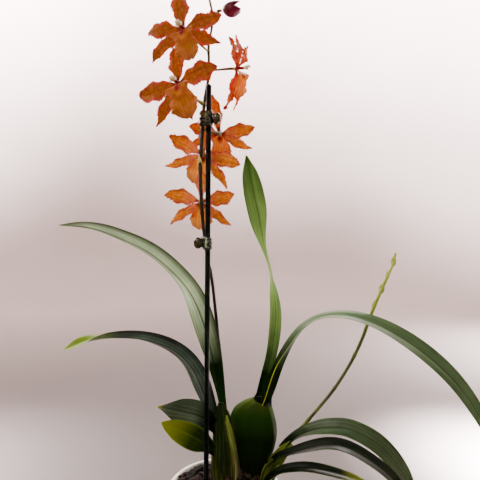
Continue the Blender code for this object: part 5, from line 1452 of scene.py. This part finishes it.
def soft_light(name, place, aim, size, watts, colour, spread):
    light = bpy.data.lights.new(name, "AREA")
    light.spread = math.radians(spread)
    light.shape = "RECTANGLE"
    light.size, light.size_y = size
    light.energy = watts
    light.color = linear(colour)[:3]
    lamp = stand(name, light)
    lamp.location = place
    lamp.rotation_euler = (Vector(aim) - Vector(place)).to_track_quat("-Z", "Y").to_euler()
    lamp.visible_camera = False


def make_studio():
    world = bpy.data.worlds.new("studio_air")
    bpy.context.scene.world = world
    world.use_nodes = True
    sky = world.node_tree.nodes["Background"]
    sky.inputs["Color"].default_value = linear("F4F1EE")
    sky.inputs["Strength"].default_value = 0.04
    for name, *settings in LIGHTS:
        soft_light(name, *settings)


def make_camera():
    lens = bpy.data.cameras.new("camera")
    lens.lens = 39.0
    lens.sensor_width = 36.0
    lens.clip_start = 0.02
    lens.clip_end = 20.0
    camera = stand("camera", lens)
    camera.location = CAMERA_PLACE
    camera.rotation_euler = (math.radians(85), 0, 0)
    bpy.context.scene.camera = camera


# What each leaf, petal and fleshy part is made of. Each leaf has its own copy of the leaf
# # tissue, whose colours are painted darker or paler for the shade or light that falls on it,
# # and the parts low on the plant are painted darker than their own colour for the shade there

LEAF_SKINS = {
    "leaf_upright": dict(
        name="orchid_leaf_waxy_upright", upper="9CC86C", deep="5C8A3C", under="94BA5C",
        under_deep="6A923C", tip="2E5008", tip_start=0.66, foot="0E2208", foot_end=0.47,
        foot_stays=0.14, rib="284812", shine=0.15),
    "leaf_arch_right": dict(
        name="orchid_leaf_waxy_arching", upper="5C7652", deep="405A36", under="40583A",
        under_deep="2E4626", tip="466030", foot="0A1805", foot_stays=0.14, rib="263E1E",
        foot_edge_glow="A8B034", shine=0.05),
    # Painted light: the glaucous underside is coloured paler still for the light that falls on it,
    # and one half darker for painted shade
    "leaf_left_high": dict(
        name="orchid_leaf_waxy_glaucous_painted_light", upper="41602C", deep="2A4318", under="E4FFD6",
        under_deep="84AC78", tip="54742C", tip_start=0.9, foot="10240A", foot_end=0.46,
        foot_stays=0.2, edge="5E7E50", rib="16280E", dusk="284020"),
    # Painted shade: coloured near black for the shade this leaf lies in, with a painted grey-green
    # sheen on its underside
    "leaf_left_mid": dict(
        name="orchid_leaf_waxy_shaded", upper="1E2C14", deep="141E0C", under="5C7462",
        under_deep="101C14", tip="7EA41C", tip_start=0.74, edge="3A4A34", foot="0E1808",
        rib="060A04", dusk="070D06", shine=0.2),
    # Painted light and shade: near black for the shade on this leaf, with a paler grey-green for
    # the sheen on it
    "leaf_left_dark": dict(
        name="orchid_leaf_waxy_painted_shade_and_sheen", upper="546C4E", deep="0E1C0A", under="4A5E40",
        under_deep="2C3E24", tip="8C9C20", tip_start=0.93, foot="0A1406", foot_end=0.5,
        foot_stays=0.25, rib="0C160A", edge="1A2A14"),
    "leaf_left_yellow": dict(
        name="orchid_leaf_waxy_yellow_green", upper="2A4408", deep="142604", under="4C6210",
        under_deep="304808", tip="86981A", tip_start=0.52, edge="6A8018", foot="0C1A06",
        foot_end=0.66, rib="4A6010", shine=0.08),
    "leaf_right_upper": dict(
        name="orchid_leaf_waxy_right", upper="465E38", deep="263A20", under="5E7648",
        under_deep="405632", tip="8A9A2C", tip_start=0.93, foot="121C0A"),
    "leaf_right_mid": dict(
        # Painted shade: coloured near black for the deep shade this leaf lies in
        name="orchid_leaf_waxy_painted_deep_shade", upper="16240E", deep="0A1206", under="465638",
        under_deep="2A3820", tip="5A6A20", tip_start=0.93, foot="0A1406", rib="080E04",
        dusk="060B04", shine=0.16),
    # Painted shade: coloured near black for the shade low on the plant, apart from its own
    # yellow-green tip
    "leaf_right_low": dict(
        name="orchid_leaf_waxy_tipped", upper="14200C", deep="0C1406", under="24321A",
        under_deep="18220F", tip="86981A", tip_start=0.72, foot="0A1406", rib="0A1005",
        shine=0.16)}

TEPAL_SKINS = {
    "tepal": dict(name="petal_translucent_waxy", body="AA5E0D", heart="783A05", edge="BE3E32",
                  # Painted light: bloom C's copy, coloured brighter for the strong light on it
                  back="F49A1C", back_deep="C4640A", back_edge="C04A38", vein="7A2A08"),
    "tepal_coral": dict(name="petal_translucent_coral", body="DC5C14", heart="BC3C0A",
                        edge="CC3C24", back="F49410", back_deep="D46808", back_edge="C8401C",
                        vein="8A2A10", blush="E06A1C")}

LIP_SKINS = {
    "lip": dict(name="lip_petal_translucent", face="8E4A07", face_pale="B0661A", back="F49E22",
                back_pale="FFBC5C", vein="742C06"),
    # Painted light: bloom C's copy, coloured brighter for the strong light on it
    "lip_coral": dict(name="lip_petal_translucent_amber", face="E85E04", face_pale="F88C06",
                      back="F47E04", back_pale="FFA41C", vein="A83A08", gold="F89418",
                      margin="DC5A14")}

FLESHY_SKINS = {
    "heart": dict(
        name="bloom_heart_fleshy", ramp=[(0.0, "8A6A20"), (0.5, "A05018"), (1.0, "6A1208")],
        gloss=0.4, mottled="808080", scale=300.0, radius=(1.0, 0.5, 0.2)),
    "column": dict(
        name="column_fleshy", ramp=[(0.0, "7A0014"), (0.3, "8C0A16"), (0.55, "9A1C16"),
                                    (0.68, "D8A850"), (1.0, "F4E0A0")],
        gloss=0.35, mottled="9A9080", scale=400.0, subsurface=0.35, radius=(1.0, 0.7, 0.4)),
    "cap": dict(
        name="anther_cap_waxy", ramp=[(0.0, "F4D888"), (0.5, "FFF2BC"), (1.0, "FFF6D0")],
        gloss=0.3, mottled="F0E8C0", scale=500.0, subsurface=0.4, radius=(1.0, 0.8, 0.5)),
    "stem": dict(
        name="flower_stem_waxy", ramp=[(0.0, "2A2E0E"), (0.4, "24200A"), (0.75, "2A220A"),
                                       (0.88, "3E4414"), (1.0, "566022")],
        gloss=0.42, mottled="6A6040", scale=90.0, stretch=(1, 4, 1)),
    "stalk": dict(
        name="flower_stalk_waxy", ramp=[(0.0, "8A9038"), (0.35, "6A6420"), (0.7, "4A3A14"),
                                        (1.0, "6A4418")],
        gloss=0.42, mottled="7A7050", scale=150.0, stretch=(1, 4, 1)),
    "bract": dict(
        name="bract_papery_green", ramp=[(0.0, "A4AC40"), (0.6, "C8C860"), (1.0, "E0D090")],
        gloss=0.5, mottled="8A8870", scale=200.0, subsurface=0.3, stretch=(1, 5, 1)),
    "spike": dict(
        name="young_spike_waxy", ramp=[(0.0, "52610C"), (0.26, "5C6A14"), (0.4, "323A0C"),
                                       (0.66, "465010"), (0.8, "86982E"), (1.0, "B4C04E")],
        gloss=0.42, mottled="7A7A40", scale=80.0, stretch=(1, 4, 1)),
    "spike_bract": dict(
        name="spike_bract_papery", ramp=[(0.0, "546C16"), (0.6, "98AC3E"), (1.0, "DCE09C")],
        gloss=0.5, mottled="8A8A60", scale=200.0, subsurface=0.3, stretch=(1, 5, 1)),
    # Painted shade: the bulb, its neck and the sheaths low on the plant are coloured near black for
    # the shade they lie in
    "bulb": dict(
        name="bulb_smooth_waxy", ramp=[(0.0, "1A160A"), (0.18, "121A0A"), (0.6, "121F08"),
                                       (0.84, "203A10"), (1.0, "424E20")],
        gloss=0.42, mottled="8A9A70", scale=26.0, stretch=(0.25, 2.5, 1), bumpy=0.12,
        shine=0.008),
    "sheath": dict(
        name="leaf_sheath_folded", ramp=[(0.0, "1A140A"), (0.25, "20200A"), (0.5, "14240A"),
                                         (1.0, "122206")],
        gloss=0.45, mottled="707050", scale=50.0, stretch=(0.3, 7, 1), shine=0.06,
        streak="4E5C1C"),
    "young_sheath": dict(
        name="young_sheath_waxy", ramp=[(0.0, "161404"), (0.35, "222C08"), (0.7, "46580E"),
                                        (1.0, "76882A")],
        gloss=0.42, mottled="707050", scale=50.0, stretch=(0.3, 7, 1), shine=0.08,
        streak="5E6C1C"),
    "neck": dict(
        name="bulb_neck_waxy", ramp=[(0.0, "262A0C"), (0.25, "181E08"), (0.6, "0E1806"),
                                     (1.0, "0A1404")],
        gloss=0.5, mottled="606040", scale=60.0, stretch=(0.5, 4, 1), shine=0.02),
    "margin": dict(
        name="leaf_sheath_pale_margin", ramp=[(0.0, "3A2A14"), (0.25, "4A4A1E"),
                                              (0.6, "5A6A28"), (1.0, "74882E")],
        gloss=0.5, mottled="808060", scale=50.0, stretch=(0.3, 7, 1), shine=0.08,
        streak="A0A864"),
    "bud": dict(
        name="bud_waxy_purple", ramp=[(0.0, "460616"), (0.4, "5C0620"), (1.0, "78083A")],
        gloss=0.36, mottled="807080", scale=220.0, subsurface=0.2, radius=(1.0, 0.3, 0.5))}


def main():
    make_camera()
    make_studio()
    make_stage()
    leaf_looks = {leaf: leaf_skin(**settings) for leaf, settings in LEAF_SKINS.items()}
    looks = {key: fleshy_skin(**settings) for key, settings in FLESHY_SKINS.items()}
    looks.update({key: tepal_skin(**settings) for key, settings in TEPAL_SKINS.items()})
    looks.update({key: lip_skin(**settings) for key, settings in LIP_SKINS.items()})
    paper = papery_skin()
    make_pot(plastic_skin("polypropylene_moulded_white", "E8E8E0", "CFCBBE", 0.34, 22.0,
                          subsurface=0.08))
    for leaves in (BULB_LEAVES, LEFT_LEAVES, RIGHT_LEAVES):
        for name, leaf in leaves.items():
            make_leaf(name, leaf, leaf_looks[name])
    on_bulb, on_left, on_right = ([leaf_looks[name] for name in leaves]
                                  for leaves in (BULB_LEAVES, LEFT_LEAVES, RIGHT_LEAVES))
    make_main_bulb([looks["bulb"], paper, *on_bulb, looks["neck"]], leaf_stubs(BULB_LEAVES, 2))
    make_left_shoot([looks["sheath"], looks["margin"], paper, *on_left], leaf_stubs(LEFT_LEAVES, 3))
    make_right_shoot([looks["young_sheath"], looks["margin"], *on_right],
                     leaf_stubs(RIGHT_LEAVES, 2))
    make_bark(bark_skin())
    make_young_spike(looks)
    make_flower_stem(looks)
    make_stake(plastic_skin("steel_stake_plastic_coated", "070D09", "0D1610", 0.3, 60.0,
                            shine=0.08))
    clip_looks = [
        plastic_skin("clip_plastic_moulded_dark", "101A08", "1C260E", 0.22, 90.0, coat=0.15),
        plastic_skin("clip_plastic_moulded_olive", "2E2A06", "3C360A", 0.12, 70.0, coat=0.5,
                     shine=0.4),
        # Painted highlight on the clip's hinge edge
        plastic_skin("clip_hinge_painted_highlight", "6E8258", "8A9A70", 0.35, 90.0)]
    for name, *sizes in CLIPS:
        make_clip(name, *sizes, clip_looks)
    for name, bloom in BLOOMS.items():
        make_bloom(name, bloom, looks)
    make_buds(looks["bud"])


main()
